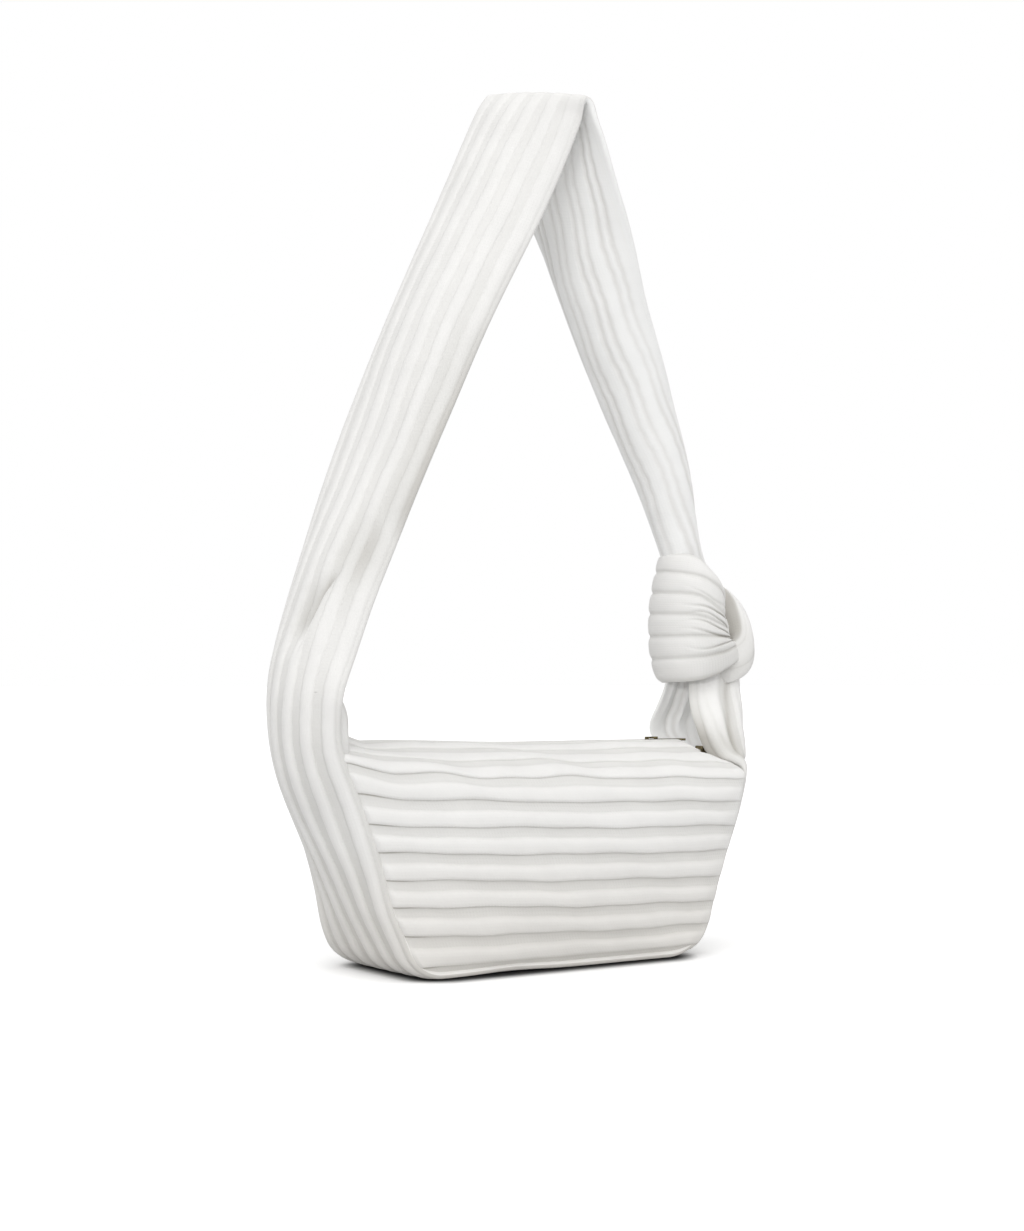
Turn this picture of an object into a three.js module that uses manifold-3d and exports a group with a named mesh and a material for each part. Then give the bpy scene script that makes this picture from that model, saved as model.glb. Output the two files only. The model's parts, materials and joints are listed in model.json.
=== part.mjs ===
// Shoulder bag of ribbed tubular knit with a knotted strap.
// Millimetres. +X runs along the bag, -Y is its front, +Z is up, and the base stands on Z = 0.
import * as THREE from "three";
import { mergeVertices } from "three/addons/utils/BufferGeometryUtils.js";
import Module from "manifold-3d";

const wasm = await Module();
wasm.setup();

// Cloth
const RIB_PITCH = 15.8; // one rib and the flat valley above it
const RIB_HEIGHT = 3.0; // how far a rib stands out of the cloth
const RIB_SHARE = 0.66; // part of a pitch that is rib, the rest is valley
const BAND_RIBS = 6; // ribs across the band of base, ends and strap
const CLOTH = 4.5; // knit with its backing, without the ribs
const STRAP_CLOTH = 3.0; // unlined knit of the strap, without the ribs
const SEAM_GAP = 0.3; // clearance between pieces that are sewn or lie on each other
const LAYER_GAP = 0.7; // clearance between layers that follow the same curve

// Body
const BASE_HALF = 105; // centre to base corner, before the corner is rounded
const TOP_HALF = 150; // centre to the top of an end seam
const LEFT_TOP = 138; // height of the left end seam
const RIGHT_TOP = 123; // height of the right end seam, which sags under the knot
const LEFT_RADIUS = 26; // rounding of the left base corner
const RIGHT_RADIUS = 35; // rounding of the right base corner
const LEFT_CURL = 65; // degrees that half the band curls at the top of the left end
const RIGHT_CURL = 36; // the same at the right end
const BELLY_DEPTH = 58; // centre plane to the fullest line of a panel
const BELLY_HEIGHT = 60;
const FLANK_DEPTH = 56; // the panel between belly and shoulder
const FLANK_HEIGHT = 90;
const SHOULDER_DEPTH = 47; // where a panel starts to curl over to the zip
const SHOULDER_HEIGHT = 116;
const CURL_DEPTH = 29; // half way between shoulder and zip
const CURL_DROP = 8.5; // that place below the zip
const LIP_EDGE = 6.5; // centre plane to the edge of the cloth beside the zip
const ZIP_HEIGHT = 137; // top of the cloth beside the zip
const TOP_EDGE_INSET = 10; // end seam's top to the end of the top edge
const MOUTH_INSET = 40; // end seam's top to the end of the part that opens
const RIB_TILT_LEFT = 6; // ribs climb to the left end
const RIB_TILT_RIGHT = -4; // and fall to the right end
const HINGE_GAP = 2; // slit that lets a mouth lip fold out

// Inside
const BOARD_THICK = 2.5;
const BOARD_HALF_LENGTH = 78;
const BOARD_HALF_DEPTH = 41;
const WADDING = 2.0;
const LINING = 0.9;
const LINING_INSET = 14; // lining of a panel ends this far before the end seam
const LINING_TOP = 108;
const POCKET_HALF = 52;
const POCKET_LOW = 30;
const POCKET_HIGH = 92;
const POCKET_ROOM = 9; // how far the pocket stands off the lining
const POCKET_HEM = 4; // sewn edge of the pocket
const POCKET_RISE = 10; // height over which the pocket opens from its lower edge

// Zip
const TOOTH_PITCH = 5;
const TEETH_INSET_LEFT = 6; // end of the mouth to the first tooth
const TEETH_INSET_RIGHT = 12; // last tooth to the other end of the mouth
const CHAIN_HALF = 3.1; // centre plane to the tape beside the teeth
const CHAIN_THICK = 2.4;
const TAPE_THICK = 0.8;
const TAPE_LAP = 11; // tape under the lip
const SLIDER_INSET = 8; // end of the mouth to the middle of the slider with the zip closed
const SLIDER_LENGTH = 14;
const SLIDER_HALF = 5;
const PLATE_THICK = 1.5;
const PLATE_GAP = 0.4; // running clearance of the slider on the teeth
const POST_LENGTH = 3; // post between the slider's plates
const POST_HALF = 1.2;
const POST_INSET = 1;
const PULLER_REACH = 26; // pin to tip
const PULLER_HALF = 3.4;
const PULLER_THICK = 1.4;
const PIN_LIFT = 1.9; // pin centre above the slider's top plate
const STOP_LENGTH = 2.6;
const TAB_DROP = 2; // end tabs lie this far below the cloth beside them
const LEFT_TAB = 22; // length of the left end tab
const RIGHT_TAB = 29; // length of the right end tab, the tail of the zip
const TAIL_DROP = 4.5; // the tail falls by this much
const CLAMP_LENGTH = 8.5; // metal clamp on the end of the tail
const CLAMP_HALF = 4.2;
const CLAMP_THICK = 6;
const CLAMP_TILT = 24; // degrees that the clamp hangs down

// Strap
const STRAP_TOP = 552; // middle of the crown above the floor
const CROWN_X = 9;
const KNOT_TOP = 262; // where the strap goes into the knot
const CORE_RISE = 6.8; // the rolled strap inside the knot stands above that place
const KNOT_TOP_INSET = 9; // that place inward of the end seam's top
const KNOT_FOOT = 172; // where it comes out below
const KNOT_FOOT_OUT = 14; // that place outward of the end seam's top
const FAN_BULGE = 2; // the cloth below the knot swells outward by this much
const STRAP_FREE = 205; // above this the left strap moves as one
const CROWN_SPAN = 24; // height of the folded crown
const KNOT_MIDDLE = 216; // middle height of the wrap on its wide side
const KNOT_HALF_HEIGHT = 43;
const KNOT_RADIUS = 30;
const KNOT_INSET = 13; // knot's axis at its middle, inward of the end seam's top
const WRAP_ROUND = 7.7; // the wrap's upper edge draws in by this much
const WRAP_FLARE = 2.6; // and its lower edge by this much
const KNOT_LEAN = 0.24; // the knot's axis goes this far along X for each millimetre down
const LOOP_RADIUS = 33.3; // knot axis to the middle of the loop
const LOOP_HALF_THICK = 8;
const LOOP_HALF_WIDTH = 12;
const VIEW_TURN = 33.4; // degrees from -Y toward -X in which the knot's front points

const BAND_WIDTH = BAND_RIBS * RIB_PITCH;
const CURL_HEIGHT = ZIP_HEIGHT - CURL_DROP;
const TOP_EDGE_HALF = TOP_HALF - TOP_EDGE_INSET;
const MOUTH_HALF = TOP_HALF - MOUTH_INSET;
const TEETH_LEFT = TEETH_INSET_LEFT - MOUTH_HALF;
const TEETH_RIGHT = MOUTH_HALF - TEETH_INSET_RIGHT;
const SLIDER_X = MOUTH_HALF - SLIDER_INSET;
const KNOT_TOP_X = TOP_HALF - KNOT_TOP_INSET;
const KNOT_FOOT_X = TOP_HALF + KNOT_FOOT_OUT;
const KNOT_X = TOP_HALF - KNOT_INSET;
const RAD = Math.PI / 180;
const FLAT = 1e-4; // curl in radians that counts as flat
const FRONT = new THREE.Vector3(0, -1, 0);

const vec = (x, y, z) => new THREE.Vector3(x, y, z);
const mix = (a, b, t) => a + (b - a) * t;
const ease = (t) => {
  const c = Math.min(1, Math.max(0, t));
  return c * c * (3 - 2 * c);
};

// Value of a smooth curve through rows of numbers, at t from 0 to the last row.
function through(rows, t) {
  const last = rows.length - 1;
  const i = Math.min(Math.max(Math.floor(t), 0), last - 1);
  const f = t - i;
  const b = rows[i];
  const c = rows[i + 1];
  return b.map((_, k) => {
    const a = i > 0 ? rows[i - 1][k] : 2 * b[k] - c[k];
    const d = i < last - 1 ? rows[i + 2][k] : 2 * c[k] - b[k];
    const square = 2 * a - 5 * b[k] + 4 * c[k] - d;
    const cube = 3 * b[k] - a - 3 * c[k] + d;
    return 0.5 * (2 * b[k] + (c[k] - a) * f + square * f * f + cube * f * f * f);
  });
}

// Closed solid between an outer and an inner grid of points.
function gridSolid(outer, inner) {
  const rows = outer.length;
  const cols = outer[0].length;
  const points = [...outer.flat(), ...inner.flat()];
  const half = rows * cols;
  const at = (i, j) => i * cols + j;
  const faces = [];
  const quad = (a, b, c, d) => faces.push(a, b, c, a, c, d);
  for (let i = 0; i < rows - 1; i++) {
    for (let j = 0; j < cols - 1; j++) {
      quad(at(i, j), at(i, j + 1), at(i + 1, j + 1), at(i + 1, j));
      quad(half + at(i, j), half + at(i + 1, j), half + at(i + 1, j + 1), half + at(i, j + 1));
    }
  }
  for (let i = 0; i < rows - 1; i++) {
    const end = cols - 1;
    quad(at(i, 0), at(i + 1, 0), half + at(i + 1, 0), half + at(i, 0));
    quad(at(i, end), half + at(i, end), half + at(i + 1, end), at(i + 1, end));
  }
  for (let j = 0; j < cols - 1; j++) {
    const end = rows - 1;
    quad(at(0, j), half + at(0, j), half + at(0, j + 1), at(0, j + 1));
    quad(at(end, j), at(end, j + 1), half + at(end, j + 1), half + at(end, j));
  }
  let volume = 0;
  for (let i = 0; i < faces.length; i += 3) {
    const [a, b, c] = [points[faces[i]], points[faces[i + 1]], points[faces[i + 2]]];
    volume += a.dot(b.clone().cross(c));
  }
  if (volume < 0) {
    for (let i = 0; i < faces.length; i += 3) {
      [faces[i + 1], faces[i + 2]] = [faces[i + 2], faces[i + 1]];
    }
  }
  return new THREE.BufferGeometry().setFromPoints(points).setIndex(faces);
}

function toSolid(geometry) {
  const bare = new THREE.BufferGeometry();
  bare.setAttribute("position", geometry.getAttribute("position"));
  if (geometry.index) bare.setIndex(geometry.index);
  const merged = mergeVertices(bare, 1e-4);
  const vertProperties = new Float32Array(merged.getAttribute("position").array);
  const triVerts = new Uint32Array(merged.index.array);
  return new wasm.Manifold(new wasm.Mesh({ numProp: 3, vertProperties, triVerts }));
}

function fromSolid(solid) {
  const mesh = solid.getMesh();
  const geometry = new THREE.BufferGeometry();
  geometry.setAttribute("position", new THREE.BufferAttribute(mesh.vertProperties, 3));
  geometry.setIndex(new THREE.BufferAttribute(mesh.triVerts, 1));
  return geometry;
}

// Box given by its low and high corners.
function block(low, high) {
  const size = high.map((h, k) => h - low[k]);
  const geometry = new THREE.BoxGeometry(...size);
  return geometry.translate(...low.map((l, k) => l + size[k] / 2));
}

const blockSolid = (low, high) => toSolid(block(low, high));

function mirrorFrontToBack(geometry) {
  const turned = geometry.clone().scale(1, -1, 1);
  const index = turned.index.array;
  for (let i = 0; i < index.length; i += 3) {
    [index[i + 1], index[i + 2]] = [index[i + 2], index[i + 1]];
  }
  return turned;
}

// Band: a strip of constant width that curls about its middle rib.

// Places across the band from its back edge (-1) to its front edge (1), three to a rib.
function bandPlaces() {
  const places = [];
  for (let rib = 0; rib < BAND_RIBS; rib++) {
    const start = -1 + (2 * rib) / BAND_RIBS;
    const valley = (1 - RIB_SHARE) / BAND_RIBS;
    places.push([start + valley, 0], [start + 1 / BAND_RIBS, 1]);
    places.push([start + 2 / BAND_RIBS - valley, 0]);
  }
  places.unshift([-1, 0]);
  places.push([1, 0]);
  return places;
}

// Solid of a band. A station holds the middle point, the outward normal, the direction across to the
// front edge, the curl of half the band and how full its ribs are.
function bandSolid(stations, cloth, options = {}) {
  const { grow = 0, lift = 0, inside = 0, reach = 1, places = bandPlaces() } = options;
  const outer = [];
  const inner = [];
  for (const { middle, normal, across, curl, rib } of stations) {
    const bent = curl * RAD;
    const turn = Math.abs(bent) < FLAT ? FLAT : bent;
    const radius = BAND_WIDTH / 2 / turn;
    const outerRow = [];
    const innerRow = [];
    for (const [place, crest] of places) {
      const stretch = 1 + grow / (BAND_WIDTH / 2);
      const angle = place * reach * stretch * turn;
      const facing = normal.clone().multiplyScalar(Math.cos(angle));
      facing.addScaledVector(across, Math.sin(angle));
      const skin = middle.clone().addScaledVector(normal, radius * (Math.cos(angle) - 1));
      skin.addScaledVector(across, radius * Math.sin(angle));
      const out = grow - lift + crest * rib * RIB_HEIGHT;
      const deep = lift + cloth + grow + crest * rib * inside * RIB_HEIGHT;
      outerRow.push(skin.clone().addScaledVector(facing, out));
      innerRow.push(skin.clone().addScaledVector(facing, -deep));
    }
    outer.push(outerRow);
    inner.push(innerRow);
  }
  return gridSolid(outer, inner);
}

// Seam of one end in the XZ plane, from the flat base round the corner and up.
function endSeam(side) {
  const radius = side < 0 ? LEFT_RADIUS : RIGHT_RADIUS;
  const top = side < 0 ? LEFT_TOP : RIGHT_TOP;
  const lean = Math.atan2(top, TOP_HALF - BASE_HALF);
  const cut = radius * Math.tan(lean / 2);
  const startX = BASE_HALF - cut;
  const rise = radius * (1 - Math.cos(lean));
  const bendX = startX + radius * Math.sin(lean);
  const curl = side < 0 ? LEFT_CURL : RIGHT_CURL;
  return { radius, top, lean, startX, rise, bendX, curl };
}

// Half length of the bag at a height, measured along the seam of one end.
function seamX(side, z) {
  const { radius, top, startX, rise, bendX } = endSeam(side);
  if (z <= 0) return startX;
  if (z < rise) return startX + Math.sqrt(radius * radius - (radius - z) ** 2);
  return mix(bendX, TOP_HALF, (z - rise) / (top - rise));
}

// Half depth of the bag at the seam of one end.
function seamDepth(side, z) {
  const { top, curl } = endSeam(side);
  const turn = Math.max(curl * RAD * Math.min(1, z / top), FLAT);
  return (BAND_WIDTH / 2) * (Math.sin(turn) / turn);
}

// Station of an end band whose seam lies at (x, z) and faces outward at an angle from straight down.
function endStation(side, x, z, angle, rib) {
  const { top, curl } = endSeam(side);
  const bend = curl * Math.min(1, Math.max(0, z / top));
  const turn = Math.max(bend * RAD, FLAT);
  const bulge = (BAND_WIDTH / 2 / turn) * (1 - Math.cos(turn));
  const normal = vec(side * Math.sin(angle), 0, -Math.cos(angle));
  const middle = vec(side * x, 0, z).addScaledVector(normal, bulge);
  return { middle, normal, across: FRONT, curl: bend, rib };
}

function endStations(side, from = 0, to = 1, steps = 4) {
  const { radius, top, lean, startX, rise, bendX } = endSeam(side);
  const arc = radius * lean;
  const straight = (top - rise) / Math.sin(lean);
  const stations = [];
  const lengths = [0, 0.25, 0.5, 0.75].map((f) => f * arc);
  for (let i = 0; i <= steps; i++) lengths.push(arc + (straight * i) / steps);
  const total = arc + straight;
  const inRange = lengths.filter((s) => s > from * total && s < to * total);
  for (const s of [from * total, ...inRange, to * total]) {
    const angle = Math.min(s, arc) / radius;
    const up = Math.max(0, s - arc);
    const x = s < arc ? startX + radius * Math.sin(angle) : bendX + up * Math.cos(lean);
    const z = s < arc ? radius * (1 - Math.cos(angle)) : rise + up * Math.sin(lean);
    stations.push(endStation(side, x, z, angle, ease(s / arc)));
  }
  return stations;
}

function endBand(side) {
  const { radius, top, lean, rise } = endSeam(side);
  const total = radius * lean + (top - rise) / Math.sin(lean);
  return bandSolid(endStations(side, SEAM_GAP / total, 1), CLOTH);
}

function endCutter(side) {
  return toSolid(bandSolid(endStations(side, 0, 1), CLOTH, { grow: SEAM_GAP }));
}

function baseBand() {
  const stations = [endSeam(-1), endSeam(1)].map(({ startX }, k) => ({
    middle: vec(k ? startX : -startX, 0, 0),
    normal: vec(0, 0, -1),
    across: FRONT,
    curl: 0,
    rib: 0,
  }));
  return bandSolid(stations, CLOTH);
}

function endLining(side) {
  const stations = endStations(side, 0.2, 0.84, 3);
  return bandSolid(stations.map((s) => ({ ...s, rib: 0 })), LINING, {
    lift: CLOTH + SEAM_GAP,
    places: spread(-0.6, 0.6, 6).map((place) => [place, 0]),
  });
}

// Panels: a section curve from the base over the belly and shoulder to the zip, swept along the bag.

function panelSection() {
  const rows = [
    [BAND_WIDTH / 2, CLOTH + SEAM_GAP],
    [mix(BAND_WIDTH / 2, BELLY_DEPTH, 0.7), BELLY_HEIGHT / 2],
    [BELLY_DEPTH, BELLY_HEIGHT],
    [FLANK_DEPTH, FLANK_HEIGHT],
    [SHOULDER_DEPTH, SHOULDER_HEIGHT],
    [CURL_DEPTH, CURL_HEIGHT],
    [LIP_EDGE - SEAM_GAP, ZIP_HEIGHT],
  ];
  const dense = [];
  for (let i = 0; i <= 90; i++) dense.push(through(rows, (i / 90) * (rows.length - 1)));
  const run = [0];
  for (let i = 1; i < dense.length; i++) {
    const step = Math.hypot(dense[i][0] - dense[i - 1][0], dense[i][1] - dense[i - 1][1]);
    run.push(run[i - 1] + step);
  }
  const total = run[run.length - 1];
  const at = (length) => {
    const s = Math.min(Math.max(length, 0), total);
    let i = 1;
    while (i < run.length - 1 && run[i] < s) i++;
    const f = (s - run[i - 1]) / (run[i] - run[i - 1]);
    return [mix(dense[i - 1][0], dense[i][0], f), mix(dense[i - 1][1], dense[i][1], f)];
  };
  const whereHeight = (z) => {
    const i = Math.max(1, dense.findIndex((p) => p[1] >= z));
    return mix(run[i - 1], run[i], (z - dense[i - 1][1]) / (dense[i][1] - dense[i - 1][1]));
  };
  return { total, at, whereHeight };
}

const SECTION = panelSection();
const SHOULDER_RUN = SECTION.whereHeight(SHOULDER_HEIGHT);

// Point of the front panel's cloth at u (-1 left end, 1 right end) and a length up the section.
function panelPoint(u, run) {
  const side = u < 0 ? -1 : 1;
  const [depthMid, zMid] = SECTION.at(run);
  const curl = ease((run - SHOULDER_RUN) / (SECTION.total - SHOULDER_RUN));
  const away = Math.abs(u);
  const endTop = (side < 0 ? LEFT_TOP : RIGHT_TOP) + 1;
  const tilt = side < 0 ? RIB_TILT_LEFT : RIB_TILT_RIGHT;
  const climb = tilt * away * ease(run / (2 * RIB_PITCH)) * (1 - curl);
  const sag = (endTop - ZIP_HEIGHT) * ease((away - 0.84) / 0.16) * curl;
  const z = zMid + climb + sag;
  const depthSeam = seamDepth(side, Math.min(z, endTop));
  const depthEnd = mix(depthSeam, LIP_EDGE, curl);
  const depth = mix(depthMid, depthEnd, away ** 2.4);
  const half = mix(seamX(side, Math.min(z, endTop)), TOP_EDGE_HALF, curl);
  return vec(u * half, -depth, z);
}

function panelNormal(u, run) {
  const du = 0.01;
  const dr = 0.5;
  const low = Math.max(0, run - dr);
  const high = Math.min(SECTION.total, run + dr);
  const along = panelPoint(Math.min(1, u + du), run).sub(panelPoint(Math.max(-1, u - du), run));
  const up = panelPoint(u, high).sub(panelPoint(u, low));
  return along.cross(up).normalize();
}

// Lengths up the section where ribs start, crest and end. A groove lies on the shoulder.
function panelRuns() {
  const runs = [[0, 0]];
  const first = SHOULDER_RUN - Math.floor(SHOULDER_RUN / RIB_PITCH) * RIB_PITCH;
  for (let run = first; run < SECTION.total - RIB_PITCH * RIB_SHARE; run += RIB_PITCH) {
    if (run > 1) runs.push([run, 0]);
    runs.push([run + (RIB_PITCH * RIB_SHARE) / 2, 1], [run + RIB_PITCH * RIB_SHARE, 0]);
  }
  runs.push([SECTION.total, 0]);
  return runs;
}

function panelSheet(runs, places, near, far) {
  const outer = [];
  const inner = [];
  for (const [run, crest] of runs) {
    const rowOut = [];
    const rowIn = [];
    for (const u of places) {
      const skin = panelPoint(u, run);
      const normal = panelNormal(u, run);
      const rib = crest * RIB_HEIGHT * ease((1 - Math.abs(u)) / 0.08);
      rowOut.push(skin.clone().addScaledVector(normal, rib - near));
      rowIn.push(skin.clone().addScaledVector(normal, -far));
    }
    outer.push(rowOut);
    inner.push(rowIn);
  }
  return gridSolid(outer, inner);
}

function spread(low, high, steps) {
  return Array.from({ length: steps + 1 }, (_, i) => mix(low, high, i / steps));
}

const ENDS = [endCutter(-1), endCutter(1)];

function mouthBox(grow, low) {
  const x = MOUTH_HALF + grow;
  return blockSolid([-x, -2 * BELLY_DEPTH, low], [x, -LIP_EDGE, 2 * ZIP_HEIGHT]);
}

// Slot in which the zip and its tabs lie between the two top edges.
function zipSlot() {
  const x = 2 * TOP_HALF;
  return blockSolid([-x, -LIP_EDGE, SHOULDER_HEIGHT], [x, LIP_EDGE, 2 * ZIP_HEIGHT]);
}

function frontShell() {
  const end = 1 - (2 * SEAM_GAP) / TOP_HALF;
  const places = [-end, -0.95, ...spread(-0.84, 0.84, 8), 0.95, end];
  return toSolid(panelSheet(panelRuns(), places, 0, CLOTH));
}

function frontPanel(shell) {
  const trimmed = ENDS.reduce((left, cutter) => left.subtract(cutter), shell);
  return fromSolid(trimmed.subtract(mouthBox(SEAM_GAP, SHOULDER_HEIGHT)).subtract(zipSlot()));
}

function frontLip(shell) {
  return fromSolid(shell.intersect(mouthBox(0, SHOULDER_HEIGHT + HINGE_GAP)));
}

// Sheet behind the front panel, between two depths under its skin.
function panelLayer(near, far, low, high) {
  const runs = spread(SECTION.whereHeight(low), SECTION.whereHeight(high), 5).map((r) => [r, 0]);
  const inset = 1 - LINING_INSET / BASE_HALF;
  return panelSheet(runs, spread(-inset, inset, 6), near, far);
}

const BOARD_TOP = CLOTH + SEAM_GAP + BOARD_THICK;
const FLOOR_TOP = BOARD_TOP + SEAM_GAP + LINING;
const WADDING_NEAR = CLOTH + LAYER_GAP;
const LINING_NEAR = WADDING_NEAR + WADDING + LAYER_GAP;
const LINING_FAR = LINING_NEAR + LINING;
const LAYER_LOW = FLOOR_TOP + 2;

const frontWadding = () => panelLayer(WADDING_NEAR, WADDING_NEAR + WADDING, LAYER_LOW, LINING_TOP);
const frontLining = () => panelLayer(LINING_NEAR, LINING_FAR, LAYER_LOW, LINING_TOP);

function baseBoard() {
  const low = [-BOARD_HALF_LENGTH, -BOARD_HALF_DEPTH, CLOTH + SEAM_GAP];
  return block(low, [BOARD_HALF_LENGTH, BOARD_HALF_DEPTH, BOARD_TOP]);
}

function baseLining() {
  const depth = BOARD_HALF_DEPTH - 2;
  const low = [-BOARD_HALF_LENGTH, -depth, BOARD_TOP + SEAM_GAP];
  return block(low, [BOARD_HALF_LENGTH, depth, FLOOR_TOP]);
}

// Slip pocket: a sheet sewn to the back lining on three sides and open at the top.
function innerPocket() {
  const low = SECTION.whereHeight(POCKET_LOW);
  const high = SECTION.whereHeight(POCKET_HIGH);
  const half = POCKET_HALF / TOP_HALF;
  const sewn = LINING_FAR + LAYER_GAP;
  const runs = [low, low + POCKET_HEM, low + POCKET_RISE, mix(low, high, 0.6), high];
  const places = [-half, -half * 0.94, -half * 0.84, 0, half * 0.84, half * 0.94, half];
  const outer = [];
  const inner = [];
  runs.forEach((run, i) => {
    const rowOut = [];
    const rowIn = [];
    places.forEach((u, j) => {
      const sides = Math.min(j, places.length - 1 - j) < 2;
      const off = sewn + (i < 2 || sides ? 0 : POCKET_ROOM);
      const skin = panelPoint(u, run);
      const normal = panelNormal(u, run);
      rowOut.push(skin.clone().addScaledVector(normal, -off));
      rowIn.push(skin.clone().addScaledVector(normal, -off - LINING));
    });
    outer.push(rowOut);
    inner.push(rowIn);
  });
  return mirrorFrontToBack(gridSolid(outer, inner));
}

// Zip

const TAPE_TOP = ZIP_HEIGHT - CLOTH - 2 * SEAM_GAP;
const CHAIN_MID = TAPE_TOP - TAPE_THICK / 2;
const CHAIN_TOP = CHAIN_MID + CHAIN_THICK / 2;

// Tape that lies under the front lip and reaches from its edge to the teeth.
function frontTape() {
  const bare = 2;
  const runs = spread(SECTION.total - TAPE_LAP, SECTION.total - bare, 2);
  const half = MOUTH_HALF - 2;
  const places = spread(-half, half, 12).map((x) => x / TOP_EDGE_HALF);
  const under = CLOTH + 3 * SEAM_GAP;
  const skin = (u, run, depth) =>
    panelPoint(u, run).addScaledVector(panelNormal(u, run), -depth);
  const outer = runs.map((run) => places.map((u) => skin(u, run, under)));
  const inner = runs.map((run) => places.map((u) => skin(u, run, under + TAPE_THICK)));
  const edge = CHAIN_HALF + SEAM_GAP;
  outer.push(places.map((u) => vec(u * TOP_EDGE_HALF, -edge, TAPE_TOP)));
  inner.push(places.map((u) => vec(u * TOP_EDGE_HALF, -edge, TAPE_TOP - TAPE_THICK)));
  return gridSolid(outer, inner);
}

// Row of teeth: a comb whose teeth lie between those of the other row.
function zipTeeth(side) {
  const root = 1.3;
  const reach = 0.9;
  const tooth = TOOTH_PITCH / 2 - SEAM_GAP;
  const shape = new THREE.Shape();
  shape.moveTo(TEETH_LEFT, side * CHAIN_HALF);
  shape.lineTo(TEETH_LEFT, side * root);
  const start = TEETH_LEFT + (side < 0 ? 0 : TOOTH_PITCH / 2) + SEAM_GAP / 2;
  for (let x = start; x + tooth < TEETH_RIGHT; x += TOOTH_PITCH) {
    if (x > TEETH_LEFT) shape.lineTo(x, side * root);
    shape.lineTo(x, -side * reach);
    shape.lineTo(x + tooth, -side * reach);
    shape.lineTo(x + tooth, side * root);
  }
  shape.lineTo(TEETH_RIGHT, side * root);
  shape.lineTo(TEETH_RIGHT, side * CHAIN_HALF);
  const solid = new THREE.ExtrudeGeometry(shape, { depth: CHAIN_THICK, bevelEnabled: false });
  return solid.translate(0, 0, CHAIN_MID - CHAIN_THICK / 2);
}

const STOP_X = SLIDER_X + SLIDER_LENGTH / 2 + SEAM_GAP;

// Stop clamped on the end of one tape's teeth cord.
function topStop(side) {
  const near = 0.5;
  const low = [STOP_X, side > 0 ? near : -CHAIN_HALF, CHAIN_MID - CHAIN_THICK / 2];
  return block(low, [STOP_X + STOP_LENGTH / 2, side > 0 ? CHAIN_HALF : -near, CHAIN_TOP]);
}

function bottomStop() {
  const right = TEETH_LEFT - SEAM_GAP;
  const low = [right - STOP_LENGTH, -CHAIN_HALF, CHAIN_MID - CHAIN_THICK / 2];
  return block(low, [right, CHAIN_HALF, CHAIN_TOP]);
}

// Cloth tab sewn over one end of the zip, between the fixed ends of the top edges. The right one is the
// tail of the zip and falls with the cloth beside it.
const TAB_START = STOP_X + STOP_LENGTH / 2 + SEAM_GAP;
const TAB_TOP = ZIP_HEIGHT - TAB_DROP;
const TAB_LOW = ZIP_HEIGHT - CLOTH;

function zipTab(side) {
  const long = side < 0 ? LEFT_TAB : RIGHT_TAB;
  const half = LIP_EDGE - SEAM_GAP;
  const row = (share, z) => {
    const fall = side < 0 ? 0 : TAIL_DROP * ease(share);
    return [-half, half].map((y) => vec(side * (TAB_START + long * share), y, z - fall));
  };
  const shares = spread(0, 1, side < 0 ? 1 : 6);
  return gridSolid(shares.map((f) => row(f, TAB_TOP)), shares.map((f) => row(f, TAB_LOW)));
}

// Metal clamp folded over the end of the zip's tail.
function endClamp() {
  const shape = block([0, -CLAMP_HALF, -CLAMP_THICK / 2], [CLAMP_LENGTH, CLAMP_HALF, CLAMP_THICK / 2]);
  shape.rotateY(CLAMP_TILT * RAD);
  const lean = (CLAMP_THICK / 2) * Math.sin(CLAMP_TILT * RAD);
  const z = (TAB_TOP + TAB_LOW) / 2 - TAIL_DROP;
  return shape.translate(TAB_START + RIGHT_TAB + SEAM_GAP + lean, 0, z);
}

const TOP_PLATE_LOW = CHAIN_TOP + PLATE_GAP;
const TOP_PLATE_TOP = TOP_PLATE_LOW + PLATE_THICK;
const BOTTOM_PLATE_TOP = CHAIN_MID - CHAIN_THICK / 2 - PLATE_GAP;
const PIN_Z = TOP_PLATE_TOP + PIN_LIFT;

// Slider: two plates on a post, with an arch on top that holds the puller.
function zipSlider() {
  const left = SLIDER_X - SLIDER_LENGTH / 2;
  const right = SLIDER_X + SLIDER_LENGTH / 2;
  const arch = POST_HALF;
  const post = right - POST_INSET - POST_LENGTH;
  const under = PIN_Z + PULLER_THICK / 2 + SEAM_GAP;
  const lower = BOTTOM_PLATE_TOP - PLATE_THICK;
  const parts = [
    blockSolid([left, -SLIDER_HALF, TOP_PLATE_LOW], [right, SLIDER_HALF, TOP_PLATE_TOP]),
    blockSolid([left, -SLIDER_HALF, lower], [right, SLIDER_HALF, BOTTOM_PLATE_TOP]),
    blockSolid([post, -POST_HALF, lower + 0.2], [post + POST_LENGTH, POST_HALF, TOP_PLATE_TOP - 0.2]),
    blockSolid([left + 2.5, -arch, TOP_PLATE_TOP - 0.2], [left + 4, arch, under + 1]),
    blockSolid([right - 4, -arch, TOP_PLATE_TOP - 0.2], [right - 2.5, arch, under + 1]),
    blockSolid([left + 2.5, -arch, under], [right - 2.5, arch, under + 1.2]),
  ];
  return fromSolid(parts.reduce((a, b) => a.add(b)));
}

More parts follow.
